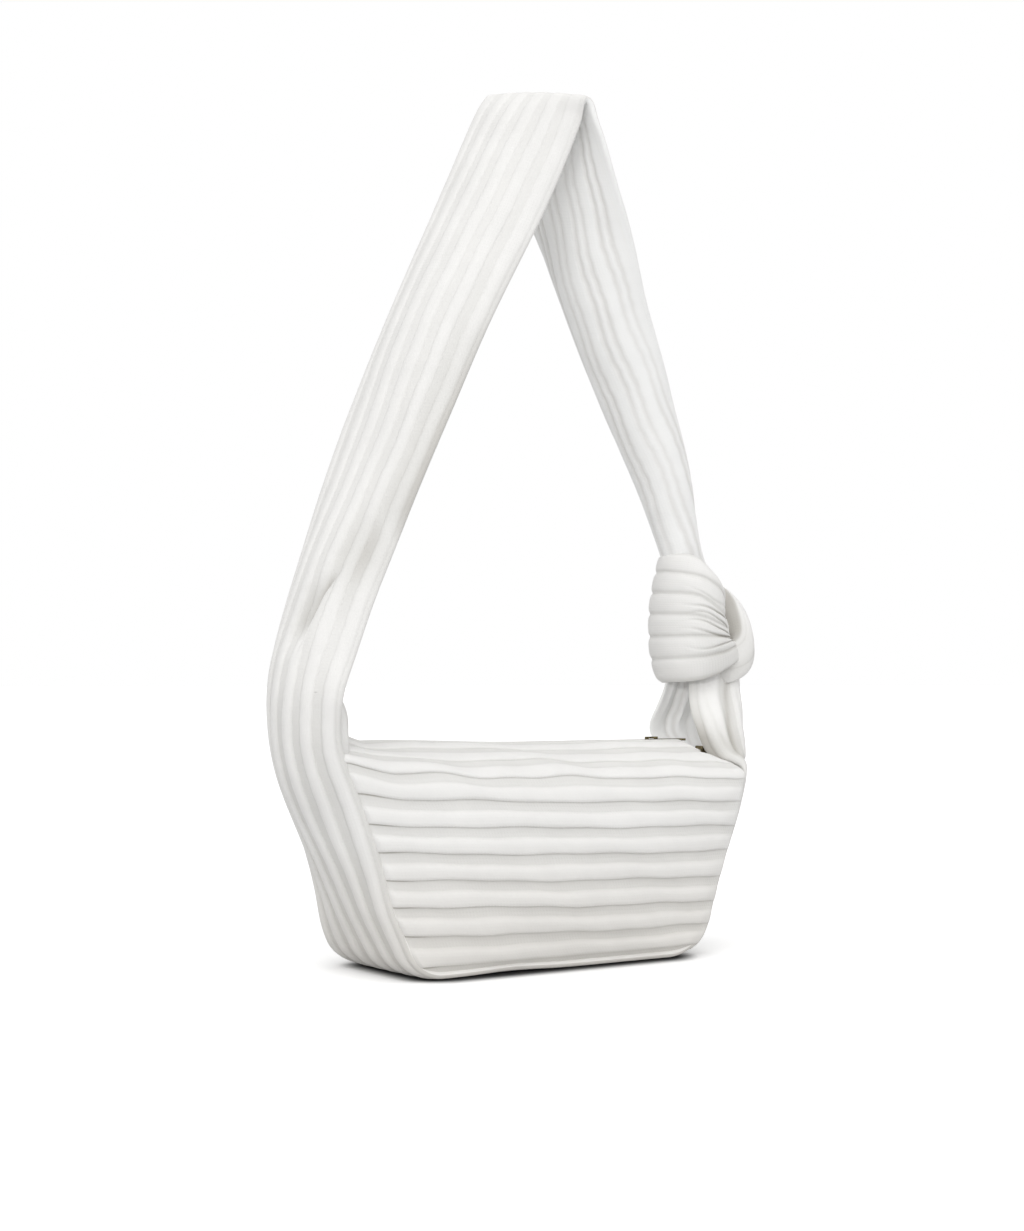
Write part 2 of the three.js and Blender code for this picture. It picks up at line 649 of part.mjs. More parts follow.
// Puller: a tab with a window whose end bar turns under the slider's arch.
function zipPuller() {
  const bar = PULLER_THICK / 2;
  const low = PIN_Z - bar;
  const high = PIN_Z + bar;
  const tab = blockSolid([SLIDER_X - bar, -PULLER_HALF, low], [SLIDER_X + PULLER_REACH, PULLER_HALF, high]);
  const reach = SLIDER_LENGTH / 2 - 1;
  const window = blockSolid([SLIDER_X + bar, -2.2, low - 1], [SLIDER_X + reach, 2.2, high + 1]);
  return fromSolid(tab.subtract(window));
}

// Strap

// Rows of the left leg: share of the rise, sideways bow, twist, curl, and tilt of the strap's width.
const LEFT_LEG = [
  [0, 0, 0, LEFT_CURL, 0],
  [0.0773, -11.6, 0, 52, 0],
  [0.1618, -13.6, 6, 36, 0],
  [0.2705, -11, 8, 22, -0.02],
  [0.4396, -10.4, 12, 20, -0.05],
  [0.6329, -16.8, 17, 34, -0.1],
  [0.8261, -11.7, 20, 36, -0.16],
  [0.9541, -9.6, 16, 28, -0.2],
  [1, 0, 14, 12, -0.22],
];

// Rows of the right leg: share of the fall from the crown to the knot, and the same columns. A negative curl
// folds the edges outward.
const RIGHT_LEG = [
  [0, 0, 14, 12, -0.22],
  [0.0731, 5.3, 17, 4, -0.2],
  [0.2272, 0.5, 15, -15, -0.18],
  [0.4483, -4.6, 10, -45, -0.12],
  [0.6721, -16.7, 8, -95, -0.06],
  [0.8659, -26.8, 10, -138, -0.03],
  [1.0024, -34, 4, -165, 0],
];

function leftRoot() {
  const stations = endStations(-1);
  return stations[stations.length - 1].middle;
}

// Rows of the whole free strap as x, z, twist, curl and tilt, from the left root over the crown to the knot.
function strapRows() {
  const root = leftRoot();
  const left = LEFT_LEG.map(([share, bow, ...rest]) => [
    mix(root.x, CROWN_X, share) + bow,
    mix(root.z, STRAP_TOP, share),
    ...rest,
  ]);
  const right = RIGHT_LEG.slice(1).map(([share, bow, ...rest]) => [
    mix(CROWN_X, KNOT_TOP_X, share) + bow,
    mix(STRAP_TOP, KNOT_TOP, share),
    ...rest,
  ]);
  return [...left, ...right];
}

const STRAP_ROWS = strapRows();
const ROOT_ROWS = 1.2; // rows over which the strap turns from the lean of the end to its own

function strapStation(t, rib = 1) {
  const [x, z, twist, curl, tilt] = through(STRAP_ROWS, t);
  const [xa, za] = through(STRAP_ROWS, Math.max(0, t - 0.02));
  const [xb, zb] = through(STRAP_ROWS, Math.min(STRAP_ROWS.length - 1, t + 0.02));
  const along = vec(xb - xa, 0, zb - za).normalize();
  const across = vec(Math.sin(twist * RAD), -Math.cos(twist * RAD), tilt).normalize();
  const normal = across.clone().cross(along).normalize();
  const root = endStations(-1).pop().normal;
  normal.lerp(root, 1 - ease(t / ROOT_ROWS)).normalize();
  return { middle: vec(x, 0, z), normal, across, curl, rib };
}

function strapPiece(from, to, steps, trim = 0) {
  const gap = trim / 60;
  const stations = spread(from + gap, to - gap, steps).map((t) => strapStation(t));
  return bandSolid(stations, STRAP_CLOTH, { inside: 0.5 });
}

// Place along the strap rows, between two of them, at which the strap passes a height.
function strapAt(z, from, to) {
  const rising = STRAP_ROWS[to][1] > STRAP_ROWS[from][1];
  let low = from;
  let high = to;
  for (let i = 0; i < 40; i++) {
    const t = (low + high) / 2;
    const above = through(STRAP_ROWS, t)[1] > z;
    if (above === rising) high = t;
    else low = t;
  }
  return (low + high) / 2;
}

const CROWN_ROW = LEFT_LEG.length - 1;
const FREE_AT = strapAt(STRAP_FREE, 0, CROWN_ROW - 1);
const CROWN_LEFT = strapAt(STRAP_TOP - CROWN_SPAN, 0, CROWN_ROW);
const CROWN_RIGHT = strapAt(STRAP_TOP - CROWN_SPAN, CROWN_ROW, STRAP_ROWS.length - 1);

// Stations between the knot and the right end: the band opens from a tube to the curl of the end.
function knotStations(rows, steps, rib) {
  return spread(0, rows.length - 1, steps).map((t) => {
    const [x, z, curl, lean, twist] = through(rows, t);
    const along = vec(Math.sin(lean * RAD), 0, -Math.cos(lean * RAD));
    const across = vec(Math.sin(twist * RAD), -Math.cos(twist * RAD), 0);
    const normal = across.clone().cross(along).normalize();
    return { middle: vec(x, 0, z), normal, across, curl, rib };
  });
}

function knotCore() {
  const rows = [
    [KNOT_TOP_X - CORE_RISE * 0.26, KNOT_TOP + CORE_RISE - 2 * SEAM_GAP, 168, 14.8, -4],
    [mix(KNOT_TOP_X, KNOT_FOOT_X, 0.5), mix(KNOT_TOP, KNOT_FOOT, 0.5), 165, 14, -2],
    [KNOT_FOOT_X, KNOT_FOOT + SEAM_GAP, 150, 8, 0],
  ];
  return bandSolid(knotStations(rows, 3, 0.2), STRAP_CLOTH, { inside: 0.3 });
}

function strapFan() {
  const stations = endStations(1);
  const { middle, curl } = stations[stations.length - 1];
  const { lean } = endSeam(1);
  const face = lean / RAD - 90;
  const rows = [
    [KNOT_FOOT_X, KNOT_FOOT - SEAM_GAP, 150, 8, 0],
    [KNOT_FOOT_X + FAN_BULGE, mix(KNOT_FOOT, middle.z, 0.4), 105, 2, 0],
    [KNOT_FOOT_X + FAN_BULGE, mix(KNOT_FOOT, middle.z, 0.75), 60, face / 2, 0],
    [middle.x, middle.z + SEAM_GAP, curl, face, 0],
  ];
  return bandSolid(knotStations(rows, 6, 0.6), STRAP_CLOTH, { inside: 0.5 });
}

// Point beside the knot's axis: an angle from the right round by the front, a radius and a height.
function knotPoint(angle, radius, z) {
  const turn = VIEW_TURN * RAD;
  const right = vec(Math.cos(turn), -Math.sin(turn), 0);
  const front = vec(-Math.sin(turn), -Math.cos(turn), 0);
  const axis = vec(KNOT_X + (KNOT_MIDDLE - z) * KNOT_LEAN, 0, z);
  axis.addScaledVector(right, radius * Math.cos(angle * RAD));
  return axis.addScaledVector(front, radius * Math.sin(angle * RAD));
}

// Wrap of the knot: the band spread round the strap, gathered at both ends.
// Rows: angle, extra radius and height as shares of the knot's radius and half height, and share of the width.
const WRAP = [
  [15, -0.1, -0.302, 0.28],
  [50, -0.033, -0.186, 0.52],
  [95, 0, -0.07, 0.86],
  [140, 0.013, 0, 0.98],
  [190, 0, 0, 1],
  [240, 0.033, 0.07, 0.9],
  [300, 0.133, 0.326, 0.5],
];

function knotWrap() {
  const outer = [];
  const inner = [];
  for (const t of spread(0, WRAP.length - 1, 12)) {
    const [angle, wider, higher, share] = through(WRAP, t);
    const rowOut = [];
    const rowIn = [];
    for (const [place, crest] of bandPlaces()) {
      const z = KNOT_MIDDLE + (higher + place * share) * KNOT_HALF_HEIGHT;
      const round = (place > 0 ? WRAP_ROUND : WRAP_FLARE) * place ** 4;
      const radius = KNOT_RADIUS * (1 + wider) - round;
      rowOut.push(knotPoint(angle, radius + crest * RIB_HEIGHT * 0.6 * share, z));
      rowIn.push(knotPoint(angle, radius - STRAP_CLOTH, z));
    }
    outer.push(rowOut);
    inner.push(rowIn);
  }
  return gridSolid(outer, inner);
}

// Loop of the knot: the gathered band that comes round the right side and holds the wrap.
// Rows: angle, extra radius and height as shares of the loop's radius and the wrap's half height, and share of
// the full thickness.
const LOOP = [
  [300.6, 0.06, 0.372, 0.6],
  [330, 0, 0.233, 1],
  [358, 0, -0.093, 1],
  [385, 0.075, -0.512, 0.7],
  [405, 0.06, -0.79, 0.6],
];

function knotLoop() {
  const sides = 10;
  const rows = spread(0, LOOP.length - 1, 12).map((t) => {
    const [angle, wider, higher, share] = through(LOOP, t);
    const z = KNOT_MIDDLE + higher * KNOT_HALF_HEIGHT;
    return { angle, radius: LOOP_RADIUS * (1 + wider), z, share };
  });
  const rings = rows.map(({ angle, radius, z, share }) =>
    spread(0, 2 * Math.PI, sides).slice(0, sides).map((turn) => {
      const out = share * LOOP_HALF_THICK * Math.cos(turn);
      return knotPoint(angle, radius + out, z + LOOP_HALF_WIDTH * Math.sin(turn));
    }),
  );
  const points = rings.flat();
  const faces = [];
  for (let i = 0; i < rings.length - 1; i++) {
    for (let j = 0; j < sides; j++) {
      const a = i * sides + j;
      const b = i * sides + ((j + 1) % sides);
      faces.push(a, b, a + sides, b, b + sides, a + sides);
    }
  }
  const last = (rings.length - 1) * sides;
  for (let j = 1; j < sides - 1; j++) {
    faces.push(0, j + 1, j);
    faces.push(last, last + j, last + j + 1);
  }
  const tube = new THREE.BufferGeometry().setFromPoints(points).setIndex(faces);
  return tube;
}

// Materials, one for each real one
const knit = new THREE.MeshStandardMaterial({ color: 0xefedea, roughness: 0.9 });
const twill = new THREE.MeshStandardMaterial({ color: 0xe6e1d8, roughness: 0.85 });
const fleece = new THREE.MeshStandardMaterial({ color: 0xf4f2ee, roughness: 1 });
const board = new THREE.MeshStandardMaterial({ color: 0xcabfae, roughness: 0.8 });
const brass = new THREE.MeshStandardMaterial({ color: 0x7a6a45, roughness: 0.4, metalness: 1 });
const tape = new THREE.MeshStandardMaterial({ color: 0xe9e6e0, roughness: 0.9 });

const bag = new THREE.Group();

function put(name, geometry, material) {
  const mesh = new THREE.Mesh(geometry, material);
  mesh.name = name;
  bag.add(mesh);
}

const shell = frontShell();
const panel = frontPanel(shell);
const lip = frontLip(shell);
const zipTape = frontTape();

put("base_band", baseBand(), knit);
put("left_end_band", endBand(-1), knit);
put("right_end_band", endBand(1), knit);
put("front_panel", panel, knit);
put("back_panel", mirrorFrontToBack(panel), knit);
put("front_mouth_lip", lip, knit);
put("back_mouth_lip", mirrorFrontToBack(lip), knit);

put("base_board", baseBoard(), board);
put("front_wadding", frontWadding(), fleece);
put("back_wadding", mirrorFrontToBack(frontWadding()), fleece);
put("front_lining", frontLining(), twill);
put("back_lining", mirrorFrontToBack(frontLining()), twill);
put("base_lining", baseLining(), twill);
put("left_lining", endLining(-1), twill);
put("right_lining", endLining(1), twill);
put("inner_pocket", innerPocket(), twill);

put("front_zip_tape", zipTape, tape);
put("back_zip_tape", mirrorFrontToBack(zipTape), tape);
put("front_zip_teeth", zipTeeth(-1), brass);
put("back_zip_teeth", zipTeeth(1), brass);
put("front_top_stop", topStop(-1), brass);
put("back_top_stop", topStop(1), brass);
put("bottom_stop", bottomStop(), brass);
put("left_zip_tab", zipTab(-1), knit);
put("right_zip_tab", zipTab(1), knit);
put("zip_end_clamp", endClamp(), brass);
put("zip_slider", zipSlider(), brass);
put("zip_puller", zipPuller(), brass);

put("left_strap_root", strapPiece(0, FREE_AT, 4, SEAM_GAP), knit);
put("strap_left_leg", strapPiece(FREE_AT, CROWN_LEFT, 10, SEAM_GAP), knit);
put("strap_crown", strapPiece(CROWN_LEFT, CROWN_RIGHT, 7, SEAM_GAP), knit);
put("strap_right_leg", strapPiece(CROWN_RIGHT, STRAP_ROWS.length - 1, 10, SEAM_GAP), knit);
put("knot_core", knotCore(), knit);
put("knot_wrap", knotWrap(), knit);
put("knot_loop", knotLoop(), knit);
put("strap_fan", strapFan(), knit);

export default bag;
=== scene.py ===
"""Shoulder bag of ribbed tubular knit with a knotted strap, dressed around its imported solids.

Lengths are millimetres until a mesh is made, and metres in Blender. +X runs along the bag to the
knot, -Y is the front and +Z is up, as in the frame.
"""

from __future__ import annotations

import json
import logging
import math
from dataclasses import dataclass, field, fields, replace
from enum import Enum
from typing import Any, Sequence

import bpy
import numpy as np
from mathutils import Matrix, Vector

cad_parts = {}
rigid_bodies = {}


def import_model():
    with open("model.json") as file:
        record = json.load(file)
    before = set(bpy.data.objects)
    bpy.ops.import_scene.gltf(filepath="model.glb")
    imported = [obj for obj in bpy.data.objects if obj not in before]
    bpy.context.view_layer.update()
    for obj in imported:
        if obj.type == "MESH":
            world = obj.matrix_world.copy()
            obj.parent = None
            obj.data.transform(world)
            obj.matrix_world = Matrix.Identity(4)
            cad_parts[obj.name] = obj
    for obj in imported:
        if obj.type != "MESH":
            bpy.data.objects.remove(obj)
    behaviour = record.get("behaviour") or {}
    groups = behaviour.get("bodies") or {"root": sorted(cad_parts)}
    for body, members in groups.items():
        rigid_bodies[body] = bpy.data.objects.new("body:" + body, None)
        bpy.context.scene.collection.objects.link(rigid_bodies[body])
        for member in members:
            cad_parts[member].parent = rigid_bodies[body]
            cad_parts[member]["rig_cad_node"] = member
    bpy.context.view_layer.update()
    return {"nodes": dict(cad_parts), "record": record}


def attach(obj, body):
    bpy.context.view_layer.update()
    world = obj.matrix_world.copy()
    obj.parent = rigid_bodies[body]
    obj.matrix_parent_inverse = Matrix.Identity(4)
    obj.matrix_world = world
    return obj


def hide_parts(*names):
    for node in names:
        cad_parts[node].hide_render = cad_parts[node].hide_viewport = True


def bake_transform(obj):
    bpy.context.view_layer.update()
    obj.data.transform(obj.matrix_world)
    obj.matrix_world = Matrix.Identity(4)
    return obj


LOG = logging.getLogger("shoulder_bag")
MM = 0.001
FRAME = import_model()

Array = np.ndarray
Pair = tuple[float, float]
Triple = tuple[float, float, float]
Colour = tuple[float, float, float, float]
Table = tuple[tuple[float, ...], ...]
Piece = bpy.types.Object
Tree = bpy.types.NodeTree
Socket = bpy.types.NodeSocket

SHARP_ANGLE = 66.0  # degrees between two faces from which their edge is shaded sharp


class End(Enum):
    """The two ends of the bag, by the sign of X."""

    LEFT = -1
    RIGHT = 1


class Face(Enum):
    """The two faces of the bag, by the sign of Y."""

    FRONT = -1
    BACK = 1


# Curves and grids


def ease(t: Array | float) -> Array:
    """Smooth step from 0 at t = 0 to 1 at t = 1: 3 t squared less 2 t cubed, with t held between them."""
    c = np.clip(np.asarray(t, float), 0.0, 1.0)
    return c * c * (3.0 - 2.0 * c)


def mix(a: Any, b: Any, t: Any) -> Any:
    """Point at share t on the way from a to b."""
    return a + (b - a) * t


def bell(t: Array, middle: float, half: float) -> Array:
    """Bump of height 1 about a middle, with that half width: exp of minus the squared distance."""
    return np.exp(-(((t - middle) / half) ** 2))


def window(t: Array, start: float, grow: float, stop: float, fade: float) -> Array:
    """1 between two places and 0 outside them, easing up after the first and down before the second."""
    return ease((t - start) / grow) * ease((stop - t) / fade)


def ripple(run: Array, row: Array, waves: Table) -> Array:
    """Sum of size sin(run / length + shift row) over rows of size, length and shift in waves."""
    return sum(size * np.sin(run / length + shift * row) for size, length, shift in waves)


def through(rows: Sequence[Sequence[float]], t: Array) -> Array:
    """Catmull-Rom curve through rows of numbers.

    Args:
        rows: The rows, one at each whole t.
        t: Places on the curve, from 0 to the last row.

    Returns:
        One row of interpolated numbers for each place.
    """
    table = np.asarray(rows, float)
    last = len(table) - 1
    i = np.clip(np.floor(t).astype(int), 0, last - 1)
    f = (np.asarray(t, float) - i)[:, None]
    b, c = table[i], table[i + 1]
    a = np.where((i > 0)[:, None], table[np.maximum(i - 1, 0)], 2 * b - c)
    d = np.where((i < last - 1)[:, None], table[np.minimum(i + 2, last)], 2 * c - b)
    square = 2 * a - 5 * b + 4 * c - d
    cube = 3 * b - a - 3 * c + d
    return 0.5 * (2 * b + (c - a) * f + square * f**2 + cube * f**3)


def unit(v: Array) -> Array:
    """Vectors scaled to length 1 along their last axis."""
    return v / np.maximum(np.linalg.norm(v, axis=-1, keepdims=True), 1e-9)


def run_length(points: Array) -> Array:
    """Length along a polyline at each of its points, from 0."""
    steps = np.linalg.norm(np.diff(points, axis=0), axis=1)
    return np.concatenate([[0.0], np.cumsum(steps)])


def net_surface(net: Array, u: Array, v: Array) -> Array:
    """Smooth surface through a net of points: Catmull-Rom along its rows, then along its columns.

    Args:
        net: Points of the net, shape (rows, columns, 3).
        u: Places along the rows, counted in rows.
        v: Places along the columns, counted in columns.

    Returns:
        Points, shape (len(u), len(v), 3).
    """
    rows, cols, _ = net.shape
    down = through(net.reshape(rows, cols * 3), u).reshape(len(u), cols, 3)
    flat = through(down.transpose(1, 0, 2).reshape(cols, len(u) * 3), v)
    return flat.reshape(len(v), len(u), 3).transpose(1, 0, 2)


def grid_normals(points: Array) -> Array:
    """Unit normals of a grid of points (n, m, 3): its difference along n cross that along m."""
    return unit(np.cross(np.gradient(points, axis=0), np.gradient(points, axis=1)))


def rib_lobe(phase: Array, share: float, low: Pair, high: Pair) -> Array:
    """Height of a knitted tube across one pitch, from 0 in the valley to 1 on its crest.

    The tube fills the first share of the pitch as (1 - |x|^power)^root, with x from -1 to 1 over it.

    Args:
        phase: Place in pitches; whole numbers are where a tube starts.
        share: Part of the pitch that is tube.
        low: Power and root on the side where the tube starts; a smaller root makes a steeper flank.
        high: The same on the other side.

    Returns:
        Height at each place.
    """
    x = np.mod(phase, 1.0) * (2.0 / share) - 1.0
    power = np.where(x < 0, low[0], high[0])
    root = np.where(x < 0, low[1], high[1])
    return np.maximum(0.0, 1.0 - np.minimum(1.0, np.abs(x)) ** power) ** root


RIB_STEPS = np.array([0.0, 0.02, 0.07, 0.15, 0.27, 0.4, 0.5, 0.6, 0.73, 0.85, 0.93, 0.98, 1.0])


@dataclass(frozen=True)
class Push:
    """A soft push on the cloth: a shift that fades as exp of minus the squared distance in reaches."""

    shift: Triple
    middle: Triple
    reach: Triple

    def moved(self, points: Array) -> Array:
        """Points after the push."""
        away = (points - np.array(self.middle)) / np.array(self.reach)
        return points + np.exp(-np.sum(away**2, -1))[..., None] * np.array(self.shift)


# Where the soft bag slumps away from its regular form
SLUMP = (
    Push((1.8, 0.0, 0.0), (-165.0, 0.0, 140.0), (60.0, 80.0, 34.0)),
    Push((1.8, 0.0, 0.0), (-140.0, 30.0, 80.0), (45.0, 45.0, 34.0)),
    Push((-3.0, 0.0, 0.0), (-148.0, -42.0, 136.0), (24.0, 22.0, 20.0)),
    Push((-3.8, 0.0, 0.0), (-122.0, 45.0, 22.0), (45.0, 40.0, 22.0)),
    Push((-3.0, 0.0, 0.0), (-120.0, -45.0, 42.0), (30.0, 25.0, 20.0)),
    Push((-2.7, 0.0, 0.0), (150.0, -40.0, 125.0), (30.0, 45.0, 24.0)),
    Push((-2.6, 0.0, 0.0), (122.0, 0.0, 45.0), (40.0, 70.0, 34.0)),
    Push((0.0, 0.0, 1.6), (-37.0, -52.0, 2.0), (24.0, 14.0, 6.0)),
)


def slumped(points: Array) -> Array:
    """Points of the soft bag after all its pushes."""
    for push in SLUMP:
        points = push.moved(points)
    return points


# Meshes


@dataclass
class Sheet:
    """A closed sheet of cloth between an outer and an inner grid of points.

    Attributes:
        outer: Grid of points on the outside, shape (n, m, 3), in millimetres.
        inner: The same grid on the inside.
        along: Length along the first axis for the cloth's pattern, shape (n, m).
        across: Length along the second axis, shape (n, m).
        valley: 0 on a rib's crest, 1 in the valley beside it, up to 2 where shade is painted in a sharp
            crease and -1 on the reverse, painted paler as light, shape (n, m).
        valley_in: The same on the inside.
    """

    outer: Array
    inner: Array
    along: Array
    across: Array
    valley: Array
    valley_in: Array

    def part(self, rows: slice, cols: slice) -> "Sheet":
        """The piece of the sheet on some rows and columns of its grid."""
        return Sheet(*(getattr(self, grid.name)[rows, cols] for grid in fields(self)))

    def mirrored(self) -> "Sheet":
        """The sheet on the other face of the bag: Y changes its sign."""
        turn = np.array([1.0, -1.0, 1.0])
        return replace(self, outer=self.outer * turn, inner=self.inner * turn)


def grid_quads(index: Array) -> Array:
    """Quads of a grid of vertex numbers, turned along the first axis then the second."""
    return np.stack([index[:-1, :-1], index[1:, :-1], index[1:, 1:], index[:-1, 1:]], -1).reshape(-1, 4)


def mesh_object(name: str, points: Array, quads: Array, uv: Array, valley: Array) -> Piece:
    """Makes a smooth mesh object, in metres, at the origin.

    Args:
        name: The piece's name.
        points: Vertices in millimetres, shape (k, 3).
        quads: Vertex numbers of the faces, shape (f, 4).
        uv: Length along and across the cloth at each vertex, in millimetres, shape (k, 2).
        valley: Depth between ribs at each vertex, with the painted shade and light of the cloth's colour,
            shape (k,).

    Returns:
        The object, linked to the scene, with its faces pointing out.
    """
    a, b, c, d = (points[quads[:, k]] for k in range(4))
    volume = np.sum(a * (np.cross(b, c) + np.cross(c, d)))
    if volume < 0:
        quads = quads[:, ::-1]
    mesh = bpy.data.meshes.new(name)
    mesh.vertices.add(len(points))
    mesh.vertices.foreach_set("co", (points * MM).astype(np.float32).ravel())
    mesh.loops.add(quads.size)
    mesh.loops.foreach_set("vertex_index", quads.astype(np.int32).ravel())
    mesh.polygons.add(len(quads))
    mesh.polygons.foreach_set("loop_start", (np.arange(len(quads)) * 4).astype(np.int32))
    mesh.update(calc_edges=True)
    mesh.validate()
    layer = mesh.uv_layers.new(name="cloth")
    layer.data.foreach_set("uv", (uv[quads.ravel()] * MM).astype(np.float32).ravel())
    depth = mesh.attributes.new("valley", "FLOAT", "POINT")
    depth.data.foreach_set("value", valley.astype(np.float32))
    mesh.polygons.foreach_set("use_smooth", np.ones(len(quads), bool))
    mesh.set_sharp_from_angle(angle=math.radians(SHARP_ANGLE))
    made = bpy.data.objects.new(name, mesh)
    bpy.context.scene.collection.objects.link(made)
    return made


def sheet_object(name: str, sheet: Sheet) -> Piece:
    """Closes a sheet round its four edges and makes it an object.

    Args:
        name: The piece's name.
        sheet: The cloth.

    Returns:
        The closed object.
    """
    n, m = sheet.valley.shape
    near = np.arange(n * m).reshape(n, m)
    far = near + n * m
    quads = [grid_quads(near), grid_quads(far)[:, ::-1]]
    for edge in (np.s_[:, 0], np.s_[-1, :], np.s_[::-1, -1], np.s_[0, ::-1]):
        rim = np.stack([far[edge], near[edge]], 0)
        quads.append(grid_quads(rim)[:, ::-1])
    points = slumped(np.concatenate([sheet.outer.reshape(-1, 3), sheet.inner.reshape(-1, 3)]))
    uv = np.stack([sheet.along.ravel(), sheet.across.ravel()], -1)
    valley = np.concatenate([sheet.valley.ravel(), sheet.valley_in.ravel()])
    return mesh_object(name, points, np.concatenate(quads), np.concatenate([uv, uv]), valley)


def tube_quads(n: int, m: int) -> Array:
    """Quads of a closed tube of n rings with m points each, m even, capped by strips across its ends."""
    index = np.arange(n * m).reshape(n, m)
    wrapped = np.concatenate([index, index[:, :1]], 1)
    half = m // 2
    quads = [grid_quads(wrapped)]
    for ring, turn in ((index[0], 1), (index[-1], -1)):
        strip = np.stack([ring[:half], ring[half:][::-1]], 0)
        quads.append(grid_quads(strip)[:, ::turn])
    return np.concatenate(quads)


def tube_object(name: str, rings: Array, along: Array, valley: Array) -> Piece:
    """Makes a closed tube from rings of points, capped by strips across its two ends.

    Args:
        name: The piece's name.
        rings: Points, shape (n, m, 3), with m even and each ring closed.
        along: Length along the tube at each ring, shape (n,).
        valley: Depth between ribs, with painted shade and light, shape (n, m).

    Returns:
        The closed object.
    """
    n, m, _ = rings.shape
    uv = np.stack([np.repeat(along, m), np.tile(run_length(rings[n // 2]), n)], -1)
    return mesh_object(name, rings.reshape(-1, 3), tube_quads(n, m), uv, valley.ravel())


# Finishes


def linear(code: str) -> Colour:
    """Turns an sRGB hex colour to linear red, green, blue and alpha."""
    parts = [int(code[i : i + 2], 16) / 255.0 for i in (0, 2, 4)]
    flat = [p / 12.92 if p <= 0.04045 else ((p + 0.055) / 1.055) ** 2.4 for p in parts]
    return (flat[0], flat[1], flat[2], 1.0)


def add_node(
    tree: Tree,
    kind: str,
    inputs: dict[Any, Any] | tuple[Any, ...] = (),
    output: str | int = 0,
    **settings: Any,
) -> Socket:
    """Adds a shader node, sets it and links it.

    Args:
        tree: The node tree.
        kind: Blender's name of the node's type, without ShaderNode.
        inputs: For each input, by name or number or in order, a value or the output that feeds it.
        output: Name or number of the output to use.
        **settings: Properties of the node.

    Returns:
        That output.
    """
    made = tree.nodes.new(f"ShaderNode{kind}")
    for key, value in settings.items():
        setattr(made, key, value)
    for key, value in inputs.items() if isinstance(inputs, dict) else enumerate(inputs):
        if isinstance(value, Socket):
            tree.links.new(value, made.inputs[key])
        else:
            made.inputs[key].default_value = value
    return made.outputs[output]


def new_material(name: str) -> tuple[bpy.types.Material, Tree, Socket]:
    """Makes an empty material.

    Args:
        name: Common name of the real material.

    Returns:
        The material, its node tree and the socket that takes its shader.
    """
    material = bpy.data.materials.new(name)
    material.use_nodes = True
    tree = material.node_tree
    tree.nodes.clear()
    return material, tree, tree.nodes.new("ShaderNodeOutputMaterial").inputs["Surface"]


def wave_scale(period_mm: float) -> float:
    """Scale of Blender's wave bands whose period is that many millimetres of the cloth."""
    return 2.0 * math.pi / (20.0 * period_mm * MM)


